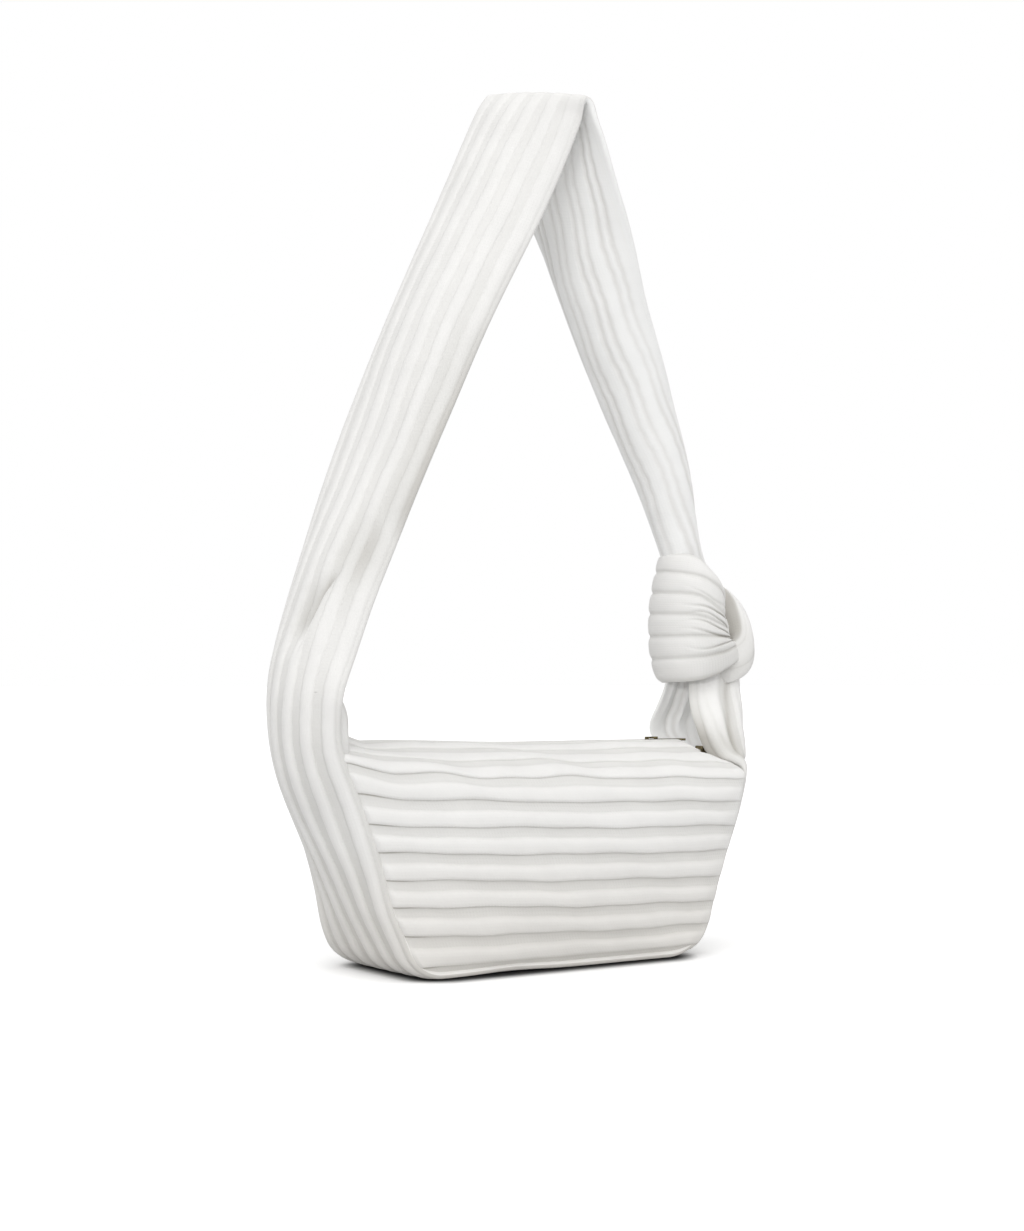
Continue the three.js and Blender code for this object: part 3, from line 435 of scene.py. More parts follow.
@dataclass(frozen=True)
class RibKnit:
    """Viscose rib knit, off-white and matte: fine stitches on the tubes, a flatter ground between, greyer
    partly by its own tone and partly by painted shade.
    """

    # The ground tone is partly painted shade in the recesses, the crease tone is painted shade in folds and
    # creases, and the reverse is drawn paler as painted light on inner faces in shade
    crest: str = "edecea"
    ground: str = "dfdedb"
    crease: str = "b9b6b0"
    reverse: str = "fafaf9"
    base_warmth: str = "f8f6f3"  # painted shade: the cloth is drawn darker and a little yellower near the floor
    warm_to_mm: float = 85.0
    mottle_mm: float = 26.0
    stitch_mm: float = 2.1  # real stitches are near 1 mm, drawn coarser so that they show
    stitch_wide: float = 0.8
    tick_mm: float = 1.3
    tick_long: float = 0.16  # the ticks' noise is drawn out across the ribs by this scale
    bump_mm: float = 0.5
    roughness: float = 0.88

    def colour(self, tree: Tree, valley: Socket) -> Socket:
        """Colour of the cloth.

        Args:
            tree: The node tree.
            valley: Depth between the ribs: below 0 on the reverse side, painted paler as light, 1 on the
                ground, 2 in a crease with painted shade.

        Returns:
            The colour by that depth, with painted shade that makes it darker and warmer near the floor.
        """
        base = linear(self.crest)
        for tone, low, high, start, stop in (
            (self.ground, 0.25, 1.0, 0.0, 1.0),
            (self.reverse, -1.0, 0.0, 1.0, 0.0),
            (self.crease, 1.0, 2.0, 0.0, 1.0),
        ):
            share = add_node(tree, "MapRange", (valley, low, high, start, stop))
            base = add_node(tree, "Mix", {0: share, 6: base, 7: linear(tone)}, 2, data_type="RGBA")
        # Painted shade: the cloth is drawn darker and warmer towards the floor
        place = add_node(tree, "TexCoord", output="Object")
        height = add_node(tree, "SeparateXYZ", (place,), "Z")
        unshaded = add_node(tree, "MapRange", (height, 0.0, self.warm_to_mm * MM, 0.0, 1.0))
        tones = {0: unshaded, 6: linear(self.base_warmth), 7: linear("ffffff")}
        floor_shading = add_node(tree, "Mix", tones, 2, data_type="RGBA")
        return add_node(tree, "VectorMath", (base, floor_shading), operation="MULTIPLY")

    def relief(self, tree: Tree, uv: Socket, valley: Socket) -> Socket:
        """Height of the cloth's fine relief.

        Args:
            tree: The node tree.
            uv: Place on the flat cloth.
            valley: Depth between the ribs.

        Returns:
            Two crossing waves multiplied for the stitches, less short ticks on the ground.
        """
        drawn = add_node(tree, "Mapping", {"Vector": uv, "Scale": (1.0, self.tick_long, 1.0)})
        grain = {"Vector": drawn, "Scale": 1.0 / (self.tick_mm * MM), "Detail": 1.0}
        ticks = add_node(tree, "TexNoise", grain, "Fac", noise_dimensions="2D")
        share = add_node(tree, "MapRange", (ticks, 0.56, 0.74, 0.0, 0.45))
        ground = add_node(tree, "MapRange", (valley, 0.25, 1.0, 0.0, 1.0))
        ticked = add_node(tree, "Math", (share, ground), operation="MULTIPLY")
        loops = {"Vector": uv, "Scale": wave_scale(self.stitch_mm), "Distortion": 1.2, "Detail": 1.0}
        loops["Detail Scale"] = 0.6
        along = add_node(tree, "TexWave", loops, "Fac", bands_direction="X")
        rows = {"Vector": uv, "Scale": wave_scale(self.stitch_mm * self.stitch_wide), "Distortion": 0.6}
        over = add_node(tree, "TexWave", rows, "Fac", bands_direction="Y")
        stitches = add_node(tree, "Math", (along, over), operation="MULTIPLY")
        return add_node(tree, "Math", (stitches, ticked), operation="SUBTRACT")

    def material(self) -> bpy.types.Material:
        """Builds the material: colour by the depth between ribs with its painted shade and light, stitches
        and ticks as bump.
        """
        material, tree, surface = new_material("viscose_rib_knit")
        uv = add_node(tree, "UVMap", uv_map="cloth")
        valley = add_node(tree, "Attribute", output="Fac", attribute_name="valley")
        patches = {"Vector": uv, "Scale": 1.0 / (self.mottle_mm * MM), "Detail": 3.0}
        mottle = add_node(tree, "TexNoise", patches, "Fac", noise_dimensions="2D")
        spread = add_node(tree, "MapRange", (mottle, 0.3, 0.7, 0.975, 1.01))
        tones = {"Vector": self.colour(tree, valley), "Scale": spread}
        height = self.relief(tree, uv, valley)
        bump = {"Strength": 0.16, "Distance": self.bump_mm * MM, "Height": height}
        look = {
            "Base Color": add_node(tree, "VectorMath", tones, operation="SCALE"),
            "Roughness": self.roughness,
            "Sheen Weight": 0.12,
            "Sheen Roughness": 0.5,
            "Specular IOR Level": 0.2,
            "Normal": add_node(tree, "Bump", bump),
        }
        tree.links.new(add_node(tree, "BsdfPrincipled", look), surface)
        return material


@dataclass(frozen=True)
class WovenCloth:
    """Plain cotton weave for the lining, the fleece and the zip's tape: diagonal or square threads."""

    name: str
    warp: str
    weft: str
    thread_mm: float
    slant: float  # turn of the threads on the cloth, in radians
    bump_mm: float = 0.3

    def material(self) -> bpy.types.Material:
        """Builds the material: two crossing sets of threads in two close tones, with their bump."""
        material, tree, surface = new_material(self.name)
        place = add_node(tree, "TexCoord", output="Object")
        turned = add_node(tree, "Mapping", {"Vector": place, "Rotation": (0.0, self.slant, 0.0)})
        threads = {"Vector": turned, "Scale": wave_scale(self.thread_mm), "Distortion": 0.8, "Detail": 1.0}
        bands = tuple(add_node(tree, "TexWave", threads, "Fac", bands_direction=way) for way in ("X", "Z"))
        weave = add_node(tree, "Math", bands, operation="MULTIPLY")
        tones = {0: weave, 6: linear(self.weft), 7: linear(self.warp)}
        bump = {"Strength": 0.3, "Distance": self.bump_mm * MM, "Height": weave}
        look = {
            "Base Color": add_node(tree, "Mix", tones, 2, data_type="RGBA"),
            "Roughness": 0.9,
            "Sheen Weight": 0.1,
            "Specular IOR Level": 0.2,
            "Normal": add_node(tree, "Bump", bump),
        }
        tree.links.new(add_node(tree, "BsdfPrincipled", look), surface)
        return material


@dataclass(frozen=True)
class AntiqueBrass:
    """Die-cast zip metal with antique brass plating: dark, warm, rubbed bright in patches."""

    dark: str = "45402f"
    rubbed: str = "7c7054"
    grain_mm: float = 1.6
    bump_mm: float = 0.1

    def material(self) -> bpy.types.Material:
        """Builds the material: tarnish by noise, smoother where it is rubbed."""
        material, tree, surface = new_material("antique_brass_plate")
        place = add_node(tree, "TexCoord", output="Object")
        grain = {"Vector": place, "Scale": 1.0 / (self.grain_mm * MM), "Detail": 5.0}
        tarnish = add_node(tree, "TexNoise", grain, "Fac")
        worn = add_node(tree, "MapRange", (tarnish, 0.38, 0.66, 0.0, 1.0))
        tones = {0: worn, 6: linear(self.dark), 7: linear(self.rubbed)}
        bump = {"Strength": 0.15, "Distance": self.bump_mm * MM, "Height": tarnish}
        look = {
            "Base Color": add_node(tree, "Mix", tones, 2, data_type="RGBA"),
            "Metallic": 1.0,
            "Roughness": add_node(tree, "MapRange", {"Value": worn, "To Min": 0.5, "To Max": 0.28}),
            "Normal": add_node(tree, "Bump", bump),
        }
        tree.links.new(add_node(tree, "BsdfPrincipled", look), surface)
        return material


@dataclass(frozen=True)
class FibreBoard:
    """Pressed fibre board that stiffens the base: dull tan with short fibres."""

    light: str = "cbbfab"
    dark: str = "b3a58e"
    fibre_mm: float = 3.0
    drawn_out: float = 0.3

    def material(self) -> bpy.types.Material:
        """Builds the material: streaked noise in two tones."""
        material, tree, surface = new_material("pressed_fibre_board")
        place = add_node(tree, "TexCoord", output="Object")
        long = add_node(tree, "Mapping", {"Vector": place, "Scale": (self.drawn_out, 1.0, 1.0)})
        grain = {"Vector": long, "Scale": 1.0 / (self.fibre_mm * MM), "Detail": 6.0}
        fibres = add_node(tree, "TexNoise", grain, "Fac")
        tones = {0: fibres, 6: linear(self.dark), 7: linear(self.light)}
        tone = add_node(tree, "Mix", tones, 2, data_type="RGBA")
        shader = add_node(tree, "BsdfPrincipled", {"Base Color": tone, "Roughness": 0.85})
        tree.links.new(shader, surface)
        return material


@dataclass
class Finishes:
    """The bag's materials, made once."""

    knit: bpy.types.Material = field(default_factory=lambda: RibKnit().material())
    twill: bpy.types.Material = field(
        default_factory=lambda: WovenCloth("cotton_twill", "dcd5c9", "cfc7b9", 1.6, 0.78).material()
    )
    fleece: bpy.types.Material = field(
        default_factory=lambda: WovenCloth("needled_fleece", "efece6", "e2ded6", 2.4, 0.3).material()
    )
    tape: bpy.types.Material = field(
        default_factory=lambda: WovenCloth("polyester_zip_tape", "e9e6e0", "d9d5cd", 1.2, 0.0).material()
    )
    brass: bpy.types.Material = field(default_factory=lambda: AntiqueBrass().material())
    board: bpy.types.Material = field(default_factory=lambda: FibreBoard().material())


def dress(obj: Piece, material: bpy.types.Material, slot: str, *nodes: str) -> Piece:
    """Gives a new piece its material, hides the solids that it stands for and logs them.

    Args:
        obj: The piece.
        material: Its finish.
        slot: The record's material slot; not used.
        nodes: Names of the solids that it replaces.

    Returns:
        The piece.
    """
    obj.data.materials.clear()
    obj.data.materials.append(material)
    if nodes:
        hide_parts(*nodes)
    LOG.info("%s: %d faces, stands for %s", obj.name, len(obj.data.polygons), ", ".join(nodes) or "none")
    return obj


def bend_strap(piece: Piece) -> None:
    """Bakes a piece's transform into its mesh."""
    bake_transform(piece)


def bend_lip(piece: Piece) -> None:
    """Bakes a piece's transform into its mesh."""
    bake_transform(piece)


# Form of the body


@dataclass(frozen=True)
class EndSeam:
    """Seam between a panel and one end of the bag: flat base, rounded corner, leaning straight."""

    side: End
    radius: float
    top: float
    curl: float  # degrees that half the band curls at the top
    base_half: float = 105.0
    top_half: float = 150.0
    band_width: float = 94.8

    @property
    def lean(self) -> float:
        """Angle of the straight above the floor, in radians."""
        return math.atan2(self.top, self.top_half - self.base_half)

    @property
    def start(self) -> float:
        """X at which the flat base ends."""
        return self.base_half - self.radius * math.tan(self.lean / 2)

    @property
    def rise(self) -> float:
        """Height at which the corner ends."""
        return self.radius * (1 - math.cos(self.lean))

    @property
    def bend(self) -> float:
        """X at which the corner ends."""
        return self.start + self.radius * math.sin(self.lean)

    @property
    def length(self) -> float:
        """Length of the seam from the flat base to its top."""
        return self.radius * self.lean + (self.top - self.rise) / math.sin(self.lean)

    def x_at(self, z: Array) -> Array:
        """Half length of the bag at a height."""
        corner = self.start + np.sqrt(np.maximum(0.0, self.radius**2 - (self.radius - z) ** 2))
        straight = mix(self.bend, self.top_half, (z - self.rise) / (self.top - self.rise))
        return np.where(z < self.rise, np.where(z <= 0, self.start, corner), straight)

    def turn_at(self, z: Array) -> Array:
        """Curl of half the band at a height, in radians."""
        return np.maximum(np.radians(self.curl) * np.clip(z / self.top, 0.0, 1.0), 1e-4)

    def depth_at(self, z: Array) -> Array:
        """Half depth of the bag at the seam: half the band's width times sin(turn) / turn."""
        turn = self.turn_at(z)
        return self.band_width / 2 * np.sin(turn) / turn

    def stations(self, s: Array) -> "Stations":
        """Stations of the end band at lengths along the seam.

        The middle rib stands off the seam by the arc's rise, (width / 2 turn) (1 - cos turn).

        Args:
            s: Lengths from the end of the flat base.

        Returns:
            The stations.
        """
        arc = self.radius * self.lean
        angle = np.minimum(s, arc) / self.radius
        up = np.maximum(0.0, s - arc)
        x = np.where(s < arc, self.start + self.radius * np.sin(angle), self.bend + up * math.cos(self.lean))
        z = np.where(s < arc, self.radius * (1 - np.cos(angle)), self.rise + up * math.sin(self.lean))
        turn = self.turn_at(z)
        bulge = self.band_width / 2 / turn * (1 - np.cos(turn))
        sign = float(self.side.value)
        zero = np.zeros_like(x)
        normal = np.stack([sign * np.sin(angle), zero, -np.cos(angle)], -1)
        middle = np.stack([sign * x, zero, z], -1) + normal * bulge[:, None]
        across = np.tile([0.0, -1.0, 0.0], (len(s), 1))
        return Stations(middle, normal, across, turn)


@dataclass
class Stations:
    """Places along the band: middle rib, outward normal, direction to the front edge, curl in radians."""

    middle: Array
    normal: Array
    across: Array
    turn: Array

    def joined(self, other: "Stations") -> "Stations":
        """These stations followed by others."""
        pairs = ((getattr(self, kind.name), getattr(other, kind.name)) for kind in fields(self))
        return Stations(*(np.concatenate(pair) for pair in pairs))

    def even(self, step: float, fine: Pair = (0.0, 0.0), finer: float = 1.0) -> "Stations":
        """The same band with its stations an even step apart.

        Args:
            step: Length between stations.
            fine: Start and end of a stretch with closer stations.
            finer: Length between stations there.

        Returns:
            The new stations.
        """
        run = run_length(self.middle)
        keep = np.concatenate([[True], np.diff(run) > 1e-6])
        run = run[keep]
        places = np.linspace(0.0, run[-1], max(2, int(round(run[-1] / step)) + 1))
        if fine[1] > fine[0]:
            coarse = places[(places < fine[0] - finer) | (places > fine[1] + finer)]
            places = np.sort(np.concatenate([coarse, np.arange(fine[0], fine[1], finer)]))

        def along(values: Array) -> Array:
            """Values of one kind at the even places."""
            return np.stack([np.interp(places, run, column) for column in values[keep].T], -1)

        turn = np.interp(places, run, self.turn[keep])
        turn = np.where(np.abs(turn) < 1e-4, 1e-4, turn)
        return Stations(along(self.middle), unit(along(self.normal)), unit(along(self.across)), turn)

    def softened(self, place: float, reach: float, spread: float) -> "Stations":
        """The band with its bend near one length along it smoothed.

        Each station there moves towards the Gaussian mean of its neighbours.

        Args:
            place: Length at the middle of the bend.
            reach: Half width of the stretch that is smoothed.
            spread: Half width of the mean.

        Returns:
            The new stations.
        """
        run = run_length(self.middle)
        weight = bell(run[:, None] - run[None, :], 0.0, spread)
        weight = weight / weight.sum(1, keepdims=True)
        share = bell(run, place, reach)[:, None]
        return Stations(
            mix(self.middle, weight @ self.middle, share),
            unit(mix(self.normal, weight @ self.normal, share)),
            unit(mix(self.across, weight @ self.across, share)),
            mix(self.turn, weight @ self.turn, share[:, 0]),
        )


@dataclass(frozen=True)
class Band:
    """The knitted band of base, ends and strap: a strip of constant width that curls about its middle rib."""

    ribs: int = 6
    pitch: float = 15.8
    share: float = 0.6
    edge_steps: tuple[float, ...] = (0.0, 0.25, 0.7, 1.5, 2.6)  # points of its rounded edges
    valley_steps: tuple[float, ...] = (0.0, 0.08, 0.14, 0.86, 0.92)  # points between its tubes, in ribs
    flank: Pair = (2.4, 0.75)
    crease_at: float = 0.19  # the two creases of a valley on the inside lie this far from its middle
    crease_share: float = 0.1  # and are this wide, in ribs
    # how much shade is painted into the creases on the inside
    crease_tone: float = 1.6
    wander: float = 0.3  # how far the ribs stray sideways
    strays: Table = ((0.45, 2.3, 2.4), (1.0, 9.0, 1.3), (1.0, 34.0, 0.7))
    sways: Table = ((0.012, 1.9, 2.6), (0.03, 9.3, 1.1))  # of the creases
    fades: Table = ((0.25, 31.0, 2.2),)  # and how they come and go
    roll_from: float = 2.4  # turn in radians past which one edge is lifted over the other
    roll_over: float = 0.9
    roll_rise: float = 3.2
    edge_lift: float = 1.0  # the base stands on its middle, with its edges just off the floor
    edge_from: float = 0.72  # share of the half width at which they begin to lift

    @property
    def width(self) -> float:
        """Width of the flat band."""
        return self.ribs * self.pitch

    def places(self) -> Array:
        """Places across the band from its back edge (-1) to its front edge (1), dense on the ribs' flanks."""
        valley = (1 - self.share) / 2
        one = np.concatenate([self.valley_steps, valley + self.share * RIB_STEPS])
        spots = (np.arange(self.ribs)[:, None] + one[None, :]).ravel() / self.ribs
        rounding = np.array(self.edge_steps) / self.width
        spots = np.concatenate([spots, rounding, 1 - rounding])
        return 2 * np.unique(np.round(spots, 6)) - 1

    def height(self, place: Array) -> Array:
        """Height of the ribs across the band, from 0 to 1."""
        phase = (place + 1) / 2 * self.ribs - (1 - self.share) / 2
        return rib_lobe(phase, self.share, self.flank, self.flank)

    def strayed(self, run: Array, place: Array) -> Array:
        """Places across with the ribs' sideways straying: sines along the band, shifted from rib to rib."""
        rib = (place + 1) / 2 * self.ribs
        return place + self.wander / (self.width / 2) * ripple(run, rib, self.strays) * (1 - place**8)

    def surface(self, at: Stations, place: Array) -> tuple[Array, Array]:
        """Skin of the band and the way it faces.

        With r = width / (2 turn) and a = place times turn, a point is
        middle + r ((cos a - 1) normal + sin a across), and it faces normal cos a + across sin a.
        Past half a turn the front edge is lifted over the back edge, as in a rolled strip.

        Args:
            at: The stations.
            place: Places across, from -1 to 1.

        Returns:
            Points and directions, shape (stations, places, 3).
        """
        radius = (self.width / 2 / at.turn)[:, None, None]
        where = self.strayed(run_length(at.middle)[:, None], place[None, :])
        angle = (at.turn[:, None] * where)[..., None]
        normal, across = at.normal[:, None, :], at.across[:, None, :]
        skin = at.middle[:, None, :] + radius * ((np.cos(angle) - 1) * normal + np.sin(angle) * across)
        facing = normal * np.cos(angle) + across * np.sin(angle)
        over = ease((np.abs(angle) - self.roll_from) / self.roll_over) * self.roll_rise * np.sign(angle)
        return skin + facing * over, facing

    def edges_up(self, share: Array) -> Array:
        """Shift that lifts the band's edges off the floor, for a share at each station."""
        edge = ease((np.abs(self.places()) - self.edge_from) / (1 - self.edge_from))
        up = self.edge_lift * share[:, None] * edge[None, :]
        return up[..., None] * np.array([0.0, 0.0, 1.0])

    def rounding(self, place: Array, edge: float) -> Array:
        """Share of the cloth's half thickness that is left across the band: a quarter circle at its edges."""
        inset = np.minimum(1.0, (1 - np.abs(place)) * self.width / 2 / edge)
        return np.maximum(0.1, np.sqrt(1 - (1 - inset) ** 2))

    def clothe(
        self,
        skin: Array,
        facing: Array,
        thick: Array,
        relief: Array,
        inside: Array,
        shift: Array | float = 0.0,
        tone: Array | float = 1.0,
        shade: Array | float = 0.0,
    ) -> Sheet:
        """Cloth on a skin: tubes outside, flat ribs with narrow creases between them inside, edges rounded.

        Args:
            skin: Points, shape (stations, places, 3).
            facing: The way each point faces.
            thick: Thickness without the ribs at each station.
            relief: Rib height outside at each station.
            inside: Depth of the creases inside at each station.
            shift: Extra offset along the way it faces, shape (stations, places).
            tone: How grey the valleys are at each station, partly painted shade.
            shade: Painted shade in folds, shape (stations, places).

        Returns:
            The sheet.
        """
        place = self.places()
        run = run_length(skin[:, len(place) // 2])
        crest = self.height(place)[None, :]
        rib = (place + 1) / 2 * self.ribs
        line = np.round(rib)[None, :]
        away = np.abs(rib[None, :] - line + ripple(run[:, None], line, self.sways))
        faint = 0.75 + ripple(run[:, None], line, self.fades)
        crease = bell(away, self.crease_at, self.crease_share) * faint * (np.abs(place) < 0.9)
        round_off = self.rounding(place, self.edge_steps[-1])[None, :]
        half = thick[:, None] / 2
        out = -half + (half + crest * relief[:, None]) * round_off + shift
        deep = -half - (half + (1 - crease) * inside[:, None]) * round_off + shift
        along = np.repeat(run[:, None], len(place), 1)
        across = np.repeat((place * self.width / 2)[None, :], len(run), 0)
        # Valleys take the ground's grey, partly painted shade, and the painted shade of folds; inside, shade
        # is painted into the creases and the rest is the reverse, painted paler as light
        grey = np.broadcast_to(np.asarray(tone, float), (len(run),))[:, None]
        return Sheet(
            skin + facing * out[..., None],
            skin + facing * deep[..., None],
            along,
            across,
            (1 - crest) * grey + shade,
            self.crease_tone * crease * np.minimum(1.0, inside[:, None]) - 1.0,
        )


BAND = Band()
RIB_RISE = 1.2  # the ribs of the base grow round its corners, over this many corner radii
SEAMS = {
    End.LEFT: EndSeam(End.LEFT, 26.0, 138.0, 65.0),
    End.RIGHT: EndSeam(End.RIGHT, 35.0, 123.0, 36.0),
}


@dataclass
class Panels:
    """Front and back panels with the lips of the mouth: a section curve swept along the bag."""

    cloth: float = 4.5
    rib: float = 2.4
    pitch: float = 15.8
    share: float = 0.64
    shoulder: float = 116.0
    lip_edge: float = 6.5
    zip_height: float = 137.0
    right_drop: float = 8.0  # the top edge falls this far to its right end
    left_rise: float = 3.5  # and climbs this far to its left end
    left_crest: float = 2.6  # the left half of the top edge stands this much higher
    right_flat: float = 0.3  # share of the ribs' height left at the right end
    top_edge_half: float = 140.0
    mouth_half: float = 110.0
    tilt_left: float = 6.0
    tilt_right: float = -4.0
    lap: float = 2.5  # how far the panel runs under the edge of the left end
    right_lap: float = 0.8
    tuck_left: float = 3.6
    tuck_right: float = 1.2
    round_end: float = 5.0
    wave: float = 1.1
    rib_waves: Table = ((0.4, 21.0, 1.7), (0.25, 8.1, 2.9))
    full_waves: Table = ((0.12, 23.0, 2.1),)  # of the ribs' height
    corner_lift: float = 6.5
    end_from: float = 0.84  # share of the half length from which the top edge climbs or falls to its end
    depth_power: float = 2.4
    flanks: tuple[Pair, Pair] = ((4.0, 0.4), (2.0, 0.8))  # below, above
    upper_flat: float = 0.4  # share of the ribs' height that is lost above the shoulder
    upper_over: float = 16.0  # run over which it is lost
    line_half: float = 0.03  # half width of the shadow line painted between two ribs, in ribs
    # how dark that painted shadow line is
    line_tone: float = 0.45
    pinch_tone: float = 1.25  # how much more shade is painted where the left corner is pinched
    lip_rows: int = 4  # rows of points that a lip goes on behind the panel
    lip_behind: float = 0.45  # and how far behind, in the cloth's thickness
    section: Table = (
        (47.4, 4.8),
        (54.82, 30.0),
        (58.0, 60.0),
        (56.0, 90.0),
        (47.0, 116.0),
        (29.0, 128.5),
        (6.2, 137.0),
    )

    def __post_init__(self) -> None:
        """Measures the section curve."""
        self.dense = through(self.section, np.linspace(0, len(self.section) - 1, 400))
        self.run = run_length(self.dense)
        self.total = float(self.run[-1])
        self.shoulder_run = float(np.interp(self.shoulder, self.dense[:, 1], self.run))

    def stray(self, u: Array, run: Array) -> Array:
        """How far the ribs stray up and down.

        The two top ribs wave strongly, all of them a little with a phase of their own, and those at
        the shoulder climb into the left corner where the cloth is pinched.

        Args:
            u: Place along the bag.
            run: Length up the section.

        Returns:
            Heights to add.
        """
        x = u * self.top_edge_half
        rib = (run - self.shoulder_run) / self.pitch
        top = bell(run, self.shoulder_run + 6.0, 17.0)
        high = self.wave * top * (np.sin(x / 14.5 + 0.07 * run) + 0.4 * np.sin(x / 6.6 + 1.9 + 0.05 * run))
        low = ripple(x, rib, self.rib_waves)
        pinch = self.corner_lift * ease((-u - 0.8) / 0.2) * bell(run, self.shoulder_run - 2.0, 19.0)
        inside = ease(run / 12.0) * ease((self.total - run) / 8.0)
        return (high * ease((1 - np.abs(u)) / 0.1) + low + pinch) * inside

    def point(self, u: Array, run: Array) -> Array:
        """Skin of the front panel.

        The section's depth and height come from its length; the depth eases to the seam's as a power of
        |u|, ribs climb or fall to the ends, and the right end of the top edge sags under the knot.

        Args:
            u: Place along the bag, -1 to 1.
            run: Length up the section.

        Returns:
            Points, with the shape of u and run broadcast together.
        """
        u, run = np.broadcast_arrays(np.asarray(u, float), np.asarray(run, float))
        depth_mid = np.interp(run, self.run, self.dense[:, 0])
        z_mid = np.interp(run, self.run, self.dense[:, 1])
        curl = ease((run - self.shoulder_run) / (self.total - self.shoulder_run))
        away = np.abs(u)
        left = u < 0
        end_top = np.where(left, SEAMS[End.LEFT].top, SEAMS[End.RIGHT].top) + 1.0
        tilt = np.where(left, self.tilt_left, self.tilt_right)
        climb = tilt * away * ease(run / (2 * self.pitch)) * (1 - curl)
        drop = np.where(left, SEAMS[End.LEFT].top + 1.0 - self.zip_height + self.left_rise, -self.right_drop)
        crest = np.where(left, self.left_crest * ease(away / 0.75), 0.0)
        sag = (drop * ease((away - self.end_from) / (1 - self.end_from)) + crest) * curl
        z = z_mid + climb + sag + self.stray(u, run)
        low = np.minimum(z, end_top)
        seam_depth = np.where(left, SEAMS[End.LEFT].depth_at(low), SEAMS[End.RIGHT].depth_at(low))
        seam_x = np.where(left, SEAMS[End.LEFT].x_at(low), SEAMS[End.RIGHT].x_at(low))
        turn = SEAMS[End.LEFT].turn_at(low)
        under = np.where(left, self.lap * np.sin(turn) - self.cloth / 2 * np.cos(turn), self.right_lap)
        outward = np.minimum(away, 1.0) ** self.depth_power
        depth = mix(depth_mid, mix(seam_depth, self.lip_edge, curl), outward)
        half = mix(seam_x + under, self.top_edge_half, curl)
        return np.stack([u * half, -depth, z], -1)

    def runs(self) -> Array:
        """Lengths up the section, dense on each rib's flanks, with one on the shoulder's groove."""
        first = math.floor(self.shoulder_run / self.pitch)
        starts = self.shoulder_run + self.pitch * np.arange(-first - 1, 6)
        one = np.concatenate([self.share * RIB_STEPS, [0.82, 0.93, 0.97, 0.99]]) * self.pitch
        spots = (starts[:, None] + one[None, :]).ravel()
        spots = np.concatenate([[0.0, 0.8], spots[(spots > 1.4) & (spots < self.total - 1.0)], [self.total]])
        return np.unique(np.round(spots, 4))

    def places(self) -> Array:
        """Places along the bag, closer together near the ends, with the mouth's ends and the middle."""
        mouth = self.mouth_half / self.top_edge_half
        outer = 1.0 - (1.0 - mouth) * np.linspace(0, 1, 36) ** 1.6
        inner = np.linspace(0.0, mouth, 64)
        half = np.unique(np.round(np.concatenate([inner, outer]), 6))
        return np.concatenate([-half[:0:-1], half])

    def sheet(self) -> tuple[Sheet, Array, Array]:
        """The whole front panel with its lips, as one sheet.

        Returns:
            The sheet, its places along the bag and its lengths up the section.
        """
        u, run = self.places(), self.runs()
        skin = self.point(u[:, None], run[None, :])
        normal = grid_normals(skin)
        normal *= np.sign(-normal[len(u) // 2, len(run) // 2, 1])
        phase = (run - self.shoulder_run) / self.pitch
        crest = rib_lobe(phase, self.share, *self.flanks)[None, :]
        line = bell(np.mod(phase, 1.0), 1.0, self.line_half)[None, :]
        full = 1.0 + ripple(u[:, None] * self.top_edge_half, phase[None, :], self.full_waves)
        upper = 1.0 - self.upper_flat * ease((run - self.shoulder_run) / self.upper_over + 0.5)[None, :]
        inset = np.minimum(1.0, (1 - np.abs(u)) * self.top_edge_half / self.round_end)
        round_off = np.sqrt(1 - (1 - inset) ** 2)[:, None]
        tuck = np.where(u < 0, self.tuck_left, self.tuck_right)[:, None]
        near_base = ease(run / 4.0)[None, :]
        flat = np.where(u > 0, mix(self.right_flat, 1.0, ease((1 - u) / 0.12)), 1.0)[:, None]
        lift = crest * self.rib * full * upper * round_off * flat
        lift = lift - tuck * (1 - round_off) - 1.2 * (1 - near_base)
        along = np.cumsum(np.linalg.norm(np.gradient(skin, axis=0), axis=-1), 0)
        across = np.repeat(run[None, :], len(u), 0)
        # Grooves greyer, a shadow line painted between ribs, more painted shade in the pinched corner, and
        # the reverse painted paler as light
        below = ease((self.shoulder_run + 6.0 - run) / 9.0)[None, :]
        pinched = self.pinch_tone * ease((-u - self.end_from) / 0.12)[:, None] * below
        valley = np.repeat(0.8 * (1 - crest), len(u), 0) + line * (self.line_tone + pinched) * upper
        outer = skin + normal * lift[..., None]
        inner = skin - normal * self.cloth
        return Sheet(outer, inner, along, across, valley, np.full_like(valley, -1.0)), u, run

    def build(self, finishes: Finishes) -> None:
        """Makes the two panels and the two halves of each lip, and hangs the panels on the bag's body.

        Args:
            finishes: The bag's materials.
        """
        whole, u, run = self.sheet()
        mouth = self.mouth_half / self.top_edge_half
        groove = int(np.argmin(np.abs(run - self.shoulder_run)))
        left = int(np.argmin(np.abs(u + mouth)))
        middle = int(np.argmin(np.abs(u)))
        right = int(np.argmin(np.abs(u - mouth)))
